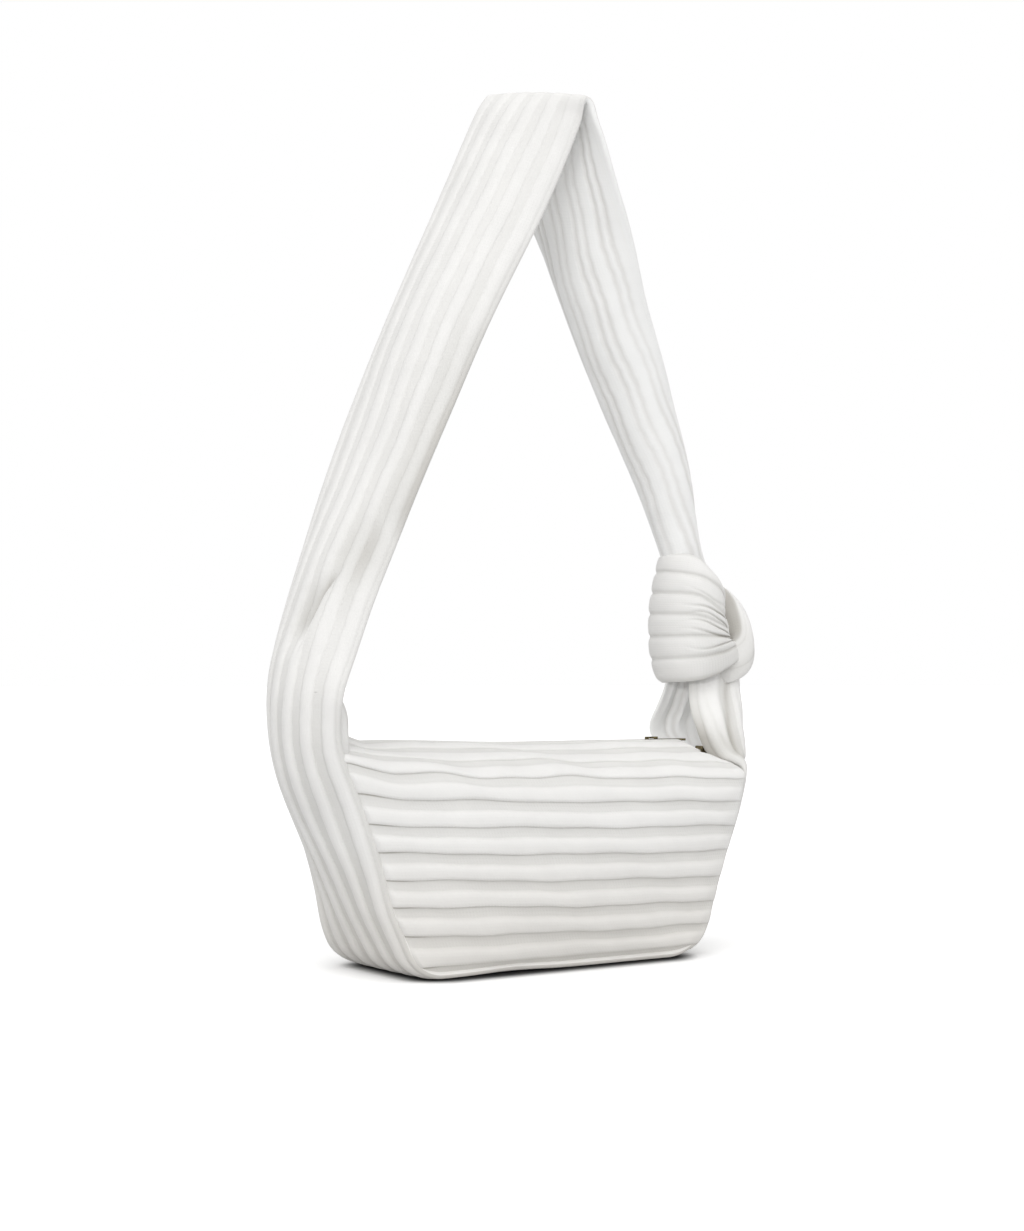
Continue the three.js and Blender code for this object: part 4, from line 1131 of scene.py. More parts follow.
        # Below the groove a lip goes on behind the panel, so that no slit shows when it turns
        behind = np.where(np.arange(len(run)) < groove, self.lip_behind, 0.0)[None, :, None]
        lapped = replace(whole, outer=mix(whole.outer, whole.inner, behind))
        for face in Face:
            cloth = whole if face is Face.FRONT else whole.mirrored()
            lips = lapped if face is Face.FRONT else lapped.mirrored()
            name = face.name.lower()
            lower = sheet_object(f"{name}_panel_knit", cloth.part(np.s_[:], np.s_[: groove + 1]))
            dress(lower, finishes.knit, "rib_knit", f"{name}_panel", f"{name}_wadding")
            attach(lower, "bag")
            for end, cols in ((End.LEFT, np.s_[: left + 1]), (End.RIGHT, np.s_[right:])):
                top = sheet_object(f"{name}_top_{end.name.lower()}_knit", cloth.part(cols, np.s_[groove:]))
                dress(top, finishes.knit, "rib_knit", f"{name}_panel")
                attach(top, "bag")
            for end, cols in ((End.LEFT, np.s_[left : middle + 1]), (End.RIGHT, np.s_[middle : right + 1])):
                half = lips.part(cols, np.s_[groove - self.lip_rows :])
                lip = sheet_object(f"{name}_lip_{end.name.lower()}_knit", half)
                dress(lip, finishes.knit, "rib_knit", f"{name}_mouth_lip")
                bend_lip(lip)


@dataclass
class StrapBand:
    """Base, left end, strap and crown as one knitted band that runs into the knot."""

    step: float = 3.2
    base_thick: float = 4.5
    strap_thick: float = 3.0
    rib: float = 2.3
    strap_rib: float = 1.1
    strap_tone: float = 0.5  # the strap is stretched and its valleys shallower, so less shade is painted in them
    crease_in: float = 1.0
    strap_top: float = 552.0
    crown_x: float = 9.0
    knot_top: float = 262.0
    knot_top_x: float = 141.0
    root_rows: float = 1.2
    root_soft: Pair = (48.0, 26.0)  # half widths of the smoothed root, and of its mean
    # The cloth of the end turns to that of the strap from so far before the root, over this length
    free_over: Pair = (20.0, 110.0)
    crown_fold: float = 16.0  # the ribs lie flatter from this far below the crown
    crown_flat: float = 0.7
    # Share of the way up or down, sideways bow, twist, curl and tilt of the width, for the rows of each leg
    left_leg: Table = (
        (0.0, 0.0, 0.0, 65.0, 0.0),
        (0.0785, -13.0, 0.0, 43.9, 0.0),
        (0.1625, -19.3, 6.0, 47.2, 0.0),
        (0.2716, -20.5, 8.0, 38.7, -0.02),
        (0.4401, -17.3, 12.0, 23.0, -0.05),
        (0.6334, -19.8, 17.0, 41.0, -0.1),
        (0.8268, -11.7, 20.0, 36.0, -0.16),
        (0.9549, -6.0, 16.0, 21.0, -0.2),
        (0.9905, -2.0, 10.5, 8.0, -0.22),
        (1.0, 2.0, 9.5, 5.0, -0.22),
    )
    right_leg: Table = (
        (0.0138, 6.6, 10.5, 5.0, -0.22),
        (0.0731, 3.4, 15.0, 10.0, -0.2),
        (0.2276, -13.4, 15.0, -33.5, -0.18),
        (0.4483, -26.1, 10.0, -98.2, -0.12),
        (0.6724, -26.3, 8.0, -135.2, -0.06),
        (0.8655, -22.6, 8.0, -183.2, -0.03),
        (1.0207, -24.2, 6.0, -280.0, 0.0),
        (1.11, -26.0, 6.0, -285.0, 0.0),
        (1.25, -40.0, 6.0, -310.0, 0.0),
    )
    # Heights of the tuck in the left leg and the places across that its fold line runs through
    tuck_line: Table = (
        (180.0, 0.16),
        (201.0, 0.2),
        (215.0, 0.23),
        (229.0, 0.27),
        (242.0, 0.4),
        (251.0, 0.555),
        (258.0, 0.72),
        (270.0, 1.0),
    )
    tuck_stretch: Pair = (45.0, 150.0)  # past the root, with closer stations
    tuck_step: float = 1.5
    tuck_ends: float = 360.0  # length past the root to which the tuck and its painted shade may reach
    tuck_deep: float = 5.5
    tuck_swell: float = 2.2
    swell_half: float = 9.0
    tuck_reach: float = 16.0
    tuck_edge: float = 1.5
    tuck_hollow: float = 2.4
    hollow_across: Pair = (0.62, 0.42)  # middle and half width
    hollow_up: Pair = (254.0, 26.0)
    tuck_shade: float = 1.05
    # Heights where the fold, its painted shadow line and the painted shade on the front edge start and stop,
    # each with its easing
    tuck_window: tuple[float, ...] = (186.0, 24.0, 250.0, 30.0)
    line_window: tuple[float, ...] = (190.0, 25.0, 256.0, 28.0)
    edge_window: tuple[float, ...] = (245.0, 40.0, 490.0, 170.0)

    def rows(self) -> Array:
        """Rows of the free strap as x, z, twist, curl and tilt, from the left root to the knot."""
        seam = SEAMS[End.LEFT]
        root = seam.stations(np.array([seam.length])).middle[0]
        left = np.array(self.left_leg)
        right = np.array(self.right_leg)
        left_x = mix(root[0], self.crown_x, left[:, 0]) + left[:, 1]
        left_z = mix(root[2], self.strap_top, left[:, 0])
        right_x = mix(self.crown_x, self.knot_top_x, right[:, 0]) + right[:, 1]
        right_z = mix(self.strap_top, self.knot_top, right[:, 0])
        up = np.column_stack([left_x, left_z, left[:, 2:]])
        return np.concatenate([up, np.column_stack([right_x, right_z, right[:, 2:]])])

    def strap_stations(self) -> Stations:
        """Stations of the free strap: its width runs by twist and tilt, its normal is square to the path."""
        rows = self.rows()
        t = np.linspace(0, len(rows) - 1, 900)
        x, z, twist, curl, tilt = through(rows, t).T
        path = np.stack([x, np.zeros_like(x), z], -1)
        way = unit(np.gradient(path, axis=0))
        twist = np.radians(twist)
        across = unit(np.stack([np.sin(twist), -np.cos(twist), tilt], -1))
        normal = unit(np.cross(across, way))
        seam = SEAMS[End.LEFT]
        root = seam.stations(np.array([seam.length])).normal[0]
        share = (1 - ease(t / self.root_rows))[:, None]
        normal = unit(mix(normal, root[None, :], share))
        return Stations(path, normal, across, np.radians(curl))

    def tuck(self, z: Array, place: Array) -> tuple[Array, Array]:
        """Tuck in the left leg above its root.

        The cloth sinks towards a fold line from the back, and stands up again within a millimetre or two on
        the front side of it, where it swells. Above it the fold opens into a soft hollow, and the painted
        shade of the fold runs out along the front edge.

        Args:
            z: Heights of the middle rib.
            place: Places across.

        Returns:
            Offsets along the way the band faces, and the shade painted into the fold.
        """
        heights, places = np.array(self.tuck_line).T
        away = (np.interp(z, heights, places) - place) * BAND.width / 2
        behind = np.maximum(away, 0.0)
        valley = np.exp(-((behind / self.tuck_reach) ** 1.2) - (np.minimum(away, 0.0) / self.tuck_edge) ** 2)
        swell = bell(away, -self.swell_half, self.swell_half)
        fade = window(z, *self.tuck_window) * ease((0.58 - place) / 0.36)
        # Painted shade: a line along the fold, a patch in the hollow above it and a band along the front edge
        hollow = bell(place, *self.hollow_across) * bell(z, *self.hollow_up)
        edge = np.exp(-(((1 - place) / 0.42) ** 1.5)) * window(z, *self.edge_window)
        line = np.exp(-((behind / 13.0) ** 1.3)) * ease((away + 2.0) / 2.0) * window(z, *self.line_window)
        shift = fade * (self.tuck_swell * swell - self.tuck_deep * valley) - self.tuck_hollow * hollow
        opened = np.maximum(0.95 * hollow, 1.1 * edge)
        return shift, self.tuck_shade * np.maximum(line * (1 + 0.6 * fade), opened)

    def stations(self) -> Stations:
        """The whole band from the base's right end round to the knot's foot."""
        left, right = SEAMS[End.LEFT], SEAMS[End.RIGHT]
        x = np.linspace(right.start, -left.start, 60)[:-1]
        zero = np.zeros_like(x)
        ones = np.ones_like(x)
        base = Stations(
            np.stack([x, zero, zero], -1),
            np.stack([zero, zero, -ones], -1),
            np.stack([zero, -ones, zero], -1),
            np.full_like(x, 1e-4),
        )
        end = left.stations(np.linspace(0, left.length, 160)[:-1])
        whole = base.joined(end).joined(self.strap_stations()).even(self.step)
        root = right.start + left.start + left.length
        start, stop = self.tuck_stretch
        smooth = whole.softened(root, *self.root_soft)
        return smooth.even(self.step, (root + start, root + stop), self.tuck_step)

    def build(self, finishes: Finishes) -> None:
        """Makes the band and bakes its transform.

        Args:
            finishes: The bag's materials.
        """
        at = self.stations()
        z = at.middle[:, 2]
        run = run_length(at.middle)
        base_end = SEAMS[End.RIGHT].start + SEAMS[End.LEFT].start
        root_run = base_end + SEAMS[End.LEFT].length
        before, over = self.free_over
        free = ease((run - root_run + before) / over)
        rise = ease((run - base_end) / (SEAMS[End.LEFT].radius * RIB_RISE))
        thick = mix(self.base_thick, self.strap_thick, free)
        fold = ease((z - self.strap_top) / self.crown_fold + 1)
        relief = mix(self.rib, self.strap_rib, free) * rise * (1 - self.crown_flat * fold)
        inside = self.crease_in * free
        place = BAND.places()
        skin, facing = BAND.surface(at, place)
        skin = skin + BAND.edges_up(1 - rise)
        left = ((run > root_run) & (run < root_run + self.tuck_ends))[:, None]
        shift, shade = self.tuck(z[:, None], place[None, :])
        tone = mix(1.0, self.strap_tone, free)
        cloth = BAND.clothe(skin, facing, thick, relief, inside, shift * left, tone, shade * left)
        made = sheet_object("strap_band_knit", cloth)
        legs = ("left_strap_root", "strap_left_leg", "strap_crown", "strap_right_leg")
        dress(made, finishes.knit, "rib_knit", "base_band", "left_end_band", *legs, "knot_core")
        bend_strap(made)


@dataclass
class KnotEnd:
    """Right end of the bag and the gathered cloth that rises from it into the knot."""

    step: float = 2.4
    base_thick: float = 4.5
    strap_thick: float = 2.6
    rib: float = 2.3
    free_rib: float = 0.7  # share of the ribs' height that is left in the fan
    crease_in: float = 0.8
    gather: float = 1.9
    joint: float = 12.0  # length of seam that the fan takes over from the end
    stations: int = 60
    free_steps: float = 14.0  # stations over which the end's cloth turns to the fan's
    gather_steps: float = 26.0
    drift: float = 0.022  # how far the gathers move across from one station to the next
    foot: Pair = (131.0, 17.0)  # height and half width of the shade painted on the front edge's foot
    # Points of the fan's rows from the end up into the knot, each row from the back edge to the front
    net: tuple[Table, ...] = (
        (
            (150, 44.3, 123), (156.3, 32.3, 123), (161.3, 18.8, 123), (163.4, 4.7, 123),
            (163, -9.4, 123), (160, -23.3, 122.5), (154.7, -34.8, 121), (149.4, -36.5, 116.5),
        ),
        (
            (147.5, 47, 130), (154.5, 38, 129), (160.5, 26, 129), (164, 10, 128.5),
            (164.5, -9, 128), (160, -26, 126.5), (153, -34.5, 125.5), (146.5, -28, 119.5),
        ),
        (
            (139, 49, 139), (150, 42, 139), (159.5, 32, 139), (164.5, 16, 139),
            (166, -6, 138), (160, -25, 136), (150.5, -29.5, 130), (142.5, -18, 122.5),
        ),
        (
            (135, 45, 148), (147, 40, 149), (157.5, 31, 149), (163.5, 15, 149),
            (166, -6, 148), (159.5, -23, 146), (147, -25.5, 141), (138.5, -12, 129.5),
        ),
        (
            (134, 37, 158), (146, 33, 159), (156, 25, 159), (163, 11, 159),
            (166, -7, 158), (159.5, -21, 157), (145, -22, 153), (132.5, -10.3, 143),
        ),
        (
            (134, 30, 168), (144, 26, 169), (154, 19, 169), (161.5, 7, 169),
            (165, -8, 168), (158.5, -19, 168), (144, -18, 166), (129, -7, 159),
        ),
        (
            (136, 25, 182), (145, 20.5, 182), (153.5, 13, 182), (161, 3, 182),
            (163.5, -10.5, 182), (157.5, -18, 182), (146.5, -15, 182), (130, -5, 180),
        ),
        (
            (138.5, 19, 201), (146, 16, 201), (153.5, 10, 201), (159, 1, 201),
            (161, -9.5, 201), (155.5, -15.5, 201), (146, -13, 201), (133, -5, 199),
        ),
        (
            (139.5, 16, 216), (146, 14, 216), (152, 9, 216), (156, 1, 216),
            (157, -8, 216), (152.5, -13, 216), (145, -11, 216), (134, -5, 214),
        ),
    )
    columns: tuple[float, ...] = (-1.0, -0.7, -0.4, -0.1, 0.2, 0.5, 0.75, 1.0)

    def skin(self) -> tuple[Array, int]:
        """Skin from the base's right end up into the knot.

        The end follows its seam; the cloth above it is a smooth surface through a net of points, whose
        first rows are taken from the top of the end.

        Returns:
            Points, shape (stations, places, 3), and the number of stations on the end.
        """
        seam = SEAMS[End.RIGHT]
        place = BAND.places()
        top = seam.length - self.joint
        count = int(top / self.step)
        end, _ = BAND.surface(seam.stations(np.linspace(0, top, count)), place)
        joint, _ = BAND.surface(seam.stations(np.array([top - self.joint, top])), np.array(self.columns))
        net = np.concatenate([joint, np.array(self.net, float)])
        rows = np.linspace(1.0, len(net) - 1, self.stations)[1:]
        cols = np.interp(place, self.columns, np.arange(len(self.columns)))
        return np.concatenate([end, net_surface(net, rows, cols)]), count

    def build(self, finishes: Finishes) -> None:
        """Makes the end with its gathers and bakes its transform.

        Args:
            finishes: The bag's materials.
        """
        skin, count = self.skin()
        facing = grid_normals(skin)
        facing *= np.sign(facing[count // 2, skin.shape[1] // 2, 0])
        steps = np.arange(len(skin))
        free = ease((steps - count) / self.free_steps)
        rise = ease(steps * self.step / (SEAMS[End.RIGHT].radius * RIB_RISE))
        thick = mix(self.base_thick, self.strap_thick, free)
        relief = self.rib * rise * mix(1.0, self.free_rib, free)
        inside = self.crease_in * free
        place = BAND.places()[None, :]
        grow = (ease((steps - count - 3) / self.gather_steps))[:, None]
        drift = self.drift * (steps - count)[:, None]
        wide = np.abs(np.cos(5.1 * place + 0.5 + drift)) ** 0.8
        slim = np.abs(np.cos(9.3 * place + 1.1 - 1.5 * drift)) ** 0.8
        shift = self.gather * grow * (1.5 * wide + 0.9 * slim - 1.5) * (1 - place**8)
        # Shade painted into the gathers' creases
        shade = 0.7 * grow * (bell(wide, 0.0, 0.25) + 0.7 * bell(slim, 0.0, 0.25))
        foot = bell(skin[..., 2], *self.foot) * ease((place - 0.5) / 0.4)
        skin = skin + BAND.edges_up(1 - rise)
        cloth = BAND.clothe(skin, facing, thick, relief, inside, shift, 1.0, shade + 1.2 * foot)
        made = sheet_object("knot_end_knit", cloth)
        dress(made, finishes.knit, "rib_knit", "right_end_band", "strap_fan")
        bend_strap(made)


@dataclass
class Knot:
    """The wrap and the loop of the knot, round an axis that leans with the strap."""

    middle: float = 216.0
    half_height: float = 43.0
    radius: float = 30.0
    axis_x: float = 138.4
    lean: float = 0.03
    loop_x: float = 137.0
    loop_lean: float = 0.2
    round_top: float = 6.5
    round_foot: float = 6.5
    loop_radius: float = 31.2
    loop_half_thick: float = 7.5
    loop_half_width: float = 12.0
    loop_web: float = 0.8  # how much deeper its inner side is where it closes the hollow beside the wrap
    view_turn: float = 33.4
    thick: float = 3.0
    rib: float = 1.3
    share: float = 0.88
    crease_deep: float = 1.6
    wrap_edge: float = 3.2  # how far in from its edges the wrap is rounded
    wrap_stations: int = 200
    drawn: Pair = (120.0, 70.0)  # below this angle the cloth is drawn together, over that many
    fold_half: float = 0.022
    loop_hollow: Pair = (346.0, 44.0)  # angle and half width of the hollow beside the loop, where its inner side is deeper and shade is painted
    loop_tail: Pair = (356.0, 24.0)  # angle from which shade is painted on the loop's lower tail, over that many
    cut_share: float = 0.8  # part of the wrap's rectangle that is cloth
    # Angle round the knot, heights of the seven lines between ribs, and how far each lies inside the radius
    wrap_rows: Table = (
        (-10, 197, 200, 202, 204, 206, 208, 211, 3, 9, 15, 17, 19, 19, 17),
        (12, 191, 199, 203, 206, 210.5, 215, 219, -0.5, 2.5, 8, 12, 15, 15, 13),
        (32, 186.5, 198, 203.5, 208.5, 215.5, 226, 231, -0.5, 0.5, 4, 6, 9, 9, 6),
        (47, 182.5, 195.5, 204, 210.5, 219, 232.5, 238.5, 0, 0, 1.5, 2, 3, 3, 2),
        (62, 179, 193.5, 204.5, 213, 223, 238.5, 247.5, 0, 0, 0.3, 0.3, 0.5, 0.5, 0.5),
        (90, 175.8, 191, 204.7, 218, 231.3, 244.5, 257.5, 0, 0, 0, 0, 0, 0, 0),
        (140, 174.5, 190, 204.5, 219.5, 233.5, 247.5, 259.8, 0, 0, 0, 0.3, 1.3, 2.4, 2),
        (190, 174.5, 190, 205, 220, 234, 247.5, 259.5, -0.5, -0.5, 0, 0.5, 2, 3, 2.4),
        (240, 180, 193, 206, 219, 232, 245, 258, -1, -1, -1, -1, 0, 1, 0),
        (285, 199, 207, 215, 223, 231, 239, 247, -2, -2, -2, -2, -2, -2, -2),
        (315, 215, 219, 224, 229, 234, 238, 242, 2, 2, 2, 2, 2, 2, 2),
        (338, 224, 226, 228, 230, 232, 234, 236, 9, 9, 9, 9, 9, 9, 9),
    )
    # Place across and depth of each sharp crease
    folds: Table = (
        (-0.5, 0.8), (-0.26, 1.1), (-0.12, 1.1), (0.05, 1.0), (0.2, 1.2), (0.45, 0.5),
    )
    # Angle round the knot, gain in radius, height in half heights of the knot, and thickness of the loop
    loop_rows: Table = (
        (300.0, -0.2, 0.42, 0.6),
        (330.0, -0.03, 0.233, 1.0),
        (358.0, 0.0, -0.11, 1.0),
        (378.0, -0.02, -0.5, 0.95),
        (393.0, -0.25, -0.68, 0.8),
        (410.0, -0.55, -0.72, 0.6),
    )

    def point(self, angle: Array, radius: Array, z: Array, axis_x: float, lean: float) -> Array:
        """Points round an upright axis that leans along X.

        Args:
            angle: Degrees from image right round by the front.
            radius: Distances from the axis.
            z: Heights.
            axis_x: X of the axis at the knot's middle.
            lean: X that the axis gains for each unit that it goes down.

        Returns:
            The points.
        """
        turn = math.radians(self.view_turn)
        right = np.array([math.cos(turn), -math.sin(turn), 0.0])
        front = np.array([-math.sin(turn), -math.cos(turn), 0.0])
        angle, radius, z = np.broadcast_arrays(angle, radius, z)
        axis = np.stack([axis_x + (self.middle - z) * lean, np.zeros_like(z), z], -1)
        turned = np.radians(angle)[..., None]
        return axis + radius[..., None] * (np.cos(turned) * right + np.sin(turned) * front)

    def wrap(self) -> Sheet:
        """The wrap: a smooth surface through the heights and depths of the lines between its ribs.

        Narrow grooves run along those lines, and on the side where the cloth is drawn together sharp
        creases lie on the ribs as well.

        Returns:
            The sheet.
        """
        rows = through(self.wrap_rows, np.linspace(0, len(self.wrap_rows) - 1, self.wrap_stations))
        angle = rows[:, :1]
        place = np.unique(np.concatenate([BAND.places(), np.linspace(-0.97, 0.97, 84)]))
        line = (place + 1) / 2 * BAND.ribs
        z = through(rows[:, 1:8].T, line).T
        sunk = through(rows[:, 8:].T, line).T
        place = place[None, :]
        crest = rib_lobe(line[None, :] - (1 - self.share) / 2, self.share, (3.0, 0.6), (3.0, 0.6))
        drawn = ease((self.drawn[0] - angle) / self.drawn[1])
        folds = np.zeros_like(z)
        for where, deep in self.folds:
            sway = 0.05 * np.sin(angle / 16.0 + 7 * where)
            folds = folds + deep * bell(place + sway, where, self.fold_half)
        away = np.abs(place)
        edge = np.where(place > 0, self.round_top * away**2.4, self.round_foot * away**3.6)
        base = self.radius - sunk - edge * ease((angle - 20.0) / 60.0)
        round_off = BAND.rounding(place, self.wrap_edge)
        half = self.thick / 2
        tight = np.clip((rows[:, 7:8] - rows[:, 1:2]) / (2 * self.half_height), 0.0, 1.0)
        relief = crest * self.rib * tight**0.5 - self.crease_deep * drawn * folds * tight**0.5
        out = base - half + (half + relief) * round_off
        outer = self.point(angle, out, z, self.axis_x, self.lean)
        inner = self.point(angle, base - half - half * round_off, z, self.axis_x, self.lean)
        along = np.cumsum(np.linalg.norm(np.gradient(outer, axis=0), axis=-1), 0)
        across = np.broadcast_to(place * BAND.width / 2, along.shape)
        # Painted shade: greyer valleys, darker creases and grey over the side where the cloth is drawn
        # together
        grey = drawn * (0.45 + 0.3 * ease((0.1 - place) / 0.8))
        valley = np.clip(0.8 * (1 - crest) + drawn * folds * 1.3 + grey, 0.0, 1.9)
        return Sheet(outer, inner, along, across, valley, np.zeros_like(valley))

    def loop(self) -> tuple[Array, Array, Array]:
        """The loop: an oval tube round the axis, with shallow grooves along it and closed ends.

        Returns:
            Rings of points, lengths along the tube, and the depth between its ribs, with shade painted into
            its grooves, the hollow and its lower tail.
        """
        t = np.linspace(0, len(self.loop_rows) - 1, 110)
        angle, wider, higher, share = (c[:, None] for c in through(self.loop_rows, t).T)
        turn = np.linspace(0, 2 * np.pi, 97)[:-1][None, :]
        groove = np.abs(np.sin(2.5 * turn + 0.5)) ** 0.4
        size = 0.93 + 0.07 * groove
        end = np.minimum(t, t[-1] - t)[:, None]
        close = np.sqrt(np.clip(end / 0.5, 0.02, 1.0))
        hollow = bell(angle, *self.loop_hollow)
        inward = np.maximum(0.0, -np.cos(turn))
        out = share * self.loop_half_thick * (np.cos(turn) - self.loop_web * hollow * inward) * size * close
        z = self.middle + higher * self.half_height + self.loop_half_width * np.sin(turn) * size * close
        rings = self.point(angle, self.loop_radius * (1 + wider) + out, z, self.loop_x, self.loop_lean)
        along = run_length(rings.mean(1))
        # Painted shade on the inner upper side where the loop meets the hollow
        within = ease((0.35 - np.cos(turn)) / 0.5) * ease((np.sin(turn) + 0.3) / 0.3)
        tail = 0.7 * ease((angle - self.loop_tail[0]) / self.loop_tail[1])
        return rings, along, 0.6 * (1 - groove) + 2.0 * hollow * within + tail

    def build(self, finishes: Finishes) -> None:
        """Makes the wrap and the loop, which ride on the strap.

        Args:
            finishes: The bag's materials.
        """
        wrap = sheet_object("knot_wrap_knit", self.wrap())
        dress(wrap, finishes.knit, "rib_knit", "knot_wrap")
        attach(wrap, "strap")
        loop = tube_object("knot_loop_knit", *self.loop())
        dress(loop, finishes.knit, "rib_knit", "knot_loop")
        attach(loop, "strap")


@dataclass
class RootTongue:
    """Small roll of knit that stands up beside the strap's left root, where the band's edge is turned in."""

    # Middle and radius of the roll, from its foot to its tip in the band
    rows: Table = (
        (-145.5, -26.0, 127.0, 5.2),
        (-145.4, -27.0, 135.0, 5.6),
        (-145.9, -28.0, 145.0, 5.3),
        (-146.6, -28.0, 155.0, 5.2),
        (-149.0, -28.0, 163.0, 4.6),
        (-153.5, -28.0, 167.5, 3.4),
        (-158.0, -28.0, 169.0, 2.0),
    )
    lobes: float = 0.12
    towards_band: float = 2.2  # it reaches this many times further on the side of the strap
    wide_from: Pair = (130.0, 20.0)  # from this height up, over that length
    deeper: float = 1.3  # and this many times further to the front and back

    def build(self, finishes: Finishes) -> None:
        """Makes the roll: rings about a short path, creased along it, with its transform baked.

        Args:
            finishes: The bag's materials.
        """
        x, y, z, radius = (c[:, None] for c in through(self.rows, np.linspace(0, len(self.rows) - 1, 40)).T)
        turn = np.linspace(0, 2 * np.pi, 49)[:-1][None, :]
        crease = np.abs(np.sin(1.5 * turn + 0.05 * z)) ** 0.5
        size = radius * (1 - self.lobes + self.lobes * crease)
        low, over = self.wide_from
        wider = mix(1.0, self.towards_band, ease((z - low) / over))
        reach = size * np.where(np.cos(turn) < 0, wider, 1.0)
        side = y + self.deeper * size * np.sin(turn)
        rings = np.stack([x + reach * np.cos(turn), side, z + 0 * turn], -1)
        # Shade painted into the creases between its lobes
        made = tube_object("root_tongue_knit", rings, z[:, 0] - z[0, 0], 1.2 * (1 - crease))
        dress(made, finishes.knit, "rib_knit", "left_strap_root")
        bend_strap(made)


@dataclass
class CornerWeb:
    """Knit that closes the left corner, from the inside of the end band to the ends of the two panels."""

    middle_z: float = 131.0
    side_z: float = 122.0
    sag: float = 4.0
    thick: float = 2.4
    into_band: float = 3.4
    under_panel: float = 2.2
    panel_place: float = -0.985  # place along the bag where it meets the panels
    left_of: float = -100.0  # the left end lies beyond this X

    def edges(self) -> tuple[Array, Array, Array]:
        """The web's long edges.

        One lies in the band, on a line that falls to its sides; the other under the panels' ends.

        Returns:
            Places from back to front, and the points of the two edges.
        """
        side = np.linspace(-0.98, 0.98, 60)
        skin, facing = BAND.surface(StrapBand().stations(), side)
        low = mix(self.middle_z, self.side_z, side**2)
        row = np.argmin(np.where(skin[..., 0] > self.left_of, np.inf, np.abs(skin[..., 2] - low)), 0)
        place = np.arange(len(side))
        band = skin[row, place] - self.into_band * facing[row, place]
        panels = Panels()
        up = mix(panels.shoulder_run, panels.total, 1 - np.abs(side))
        ends = panels.point(np.full_like(side, self.panel_place), up) - np.array([0.0, 0.0, self.under_panel])
        ends[:, 1] *= np.sign(side)
        return side, band, ends

    def build(self, finishes: Finishes) -> None:
        """Makes the web: straight lines between its two edges, with a sag of sin(pi t) across them.

        Args:
            finishes: The bag's materials.
        """
        side, band, ends = self.edges()
        t = np.linspace(0, 1, 24)[:, None]
        web = mix(band[None], ends[None], t[..., None])
        web[..., 2] -= self.sag * np.sin(np.pi * t) * (1 - side**2)
        half = np.array([0.0, 0.0, self.thick / 2])
        long = float(run_length(web[len(t) // 2])[-1])
        patches = np.cross(np.diff(web, axis=0)[:, :-1], np.diff(web, axis=1)[:-1])
        wide = float(np.linalg.norm(patches, axis=-1).sum()) / long
        along, across = np.broadcast_arrays(t * wide, side * long / 2)
        tone = np.zeros_like(along)
        made = sheet_object("left_corner_knit", Sheet(web + half, web - half, along, across, tone, tone))
        dress(made, finishes.knit, "rib_knit", "left_end_band")
        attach(made, "bag")


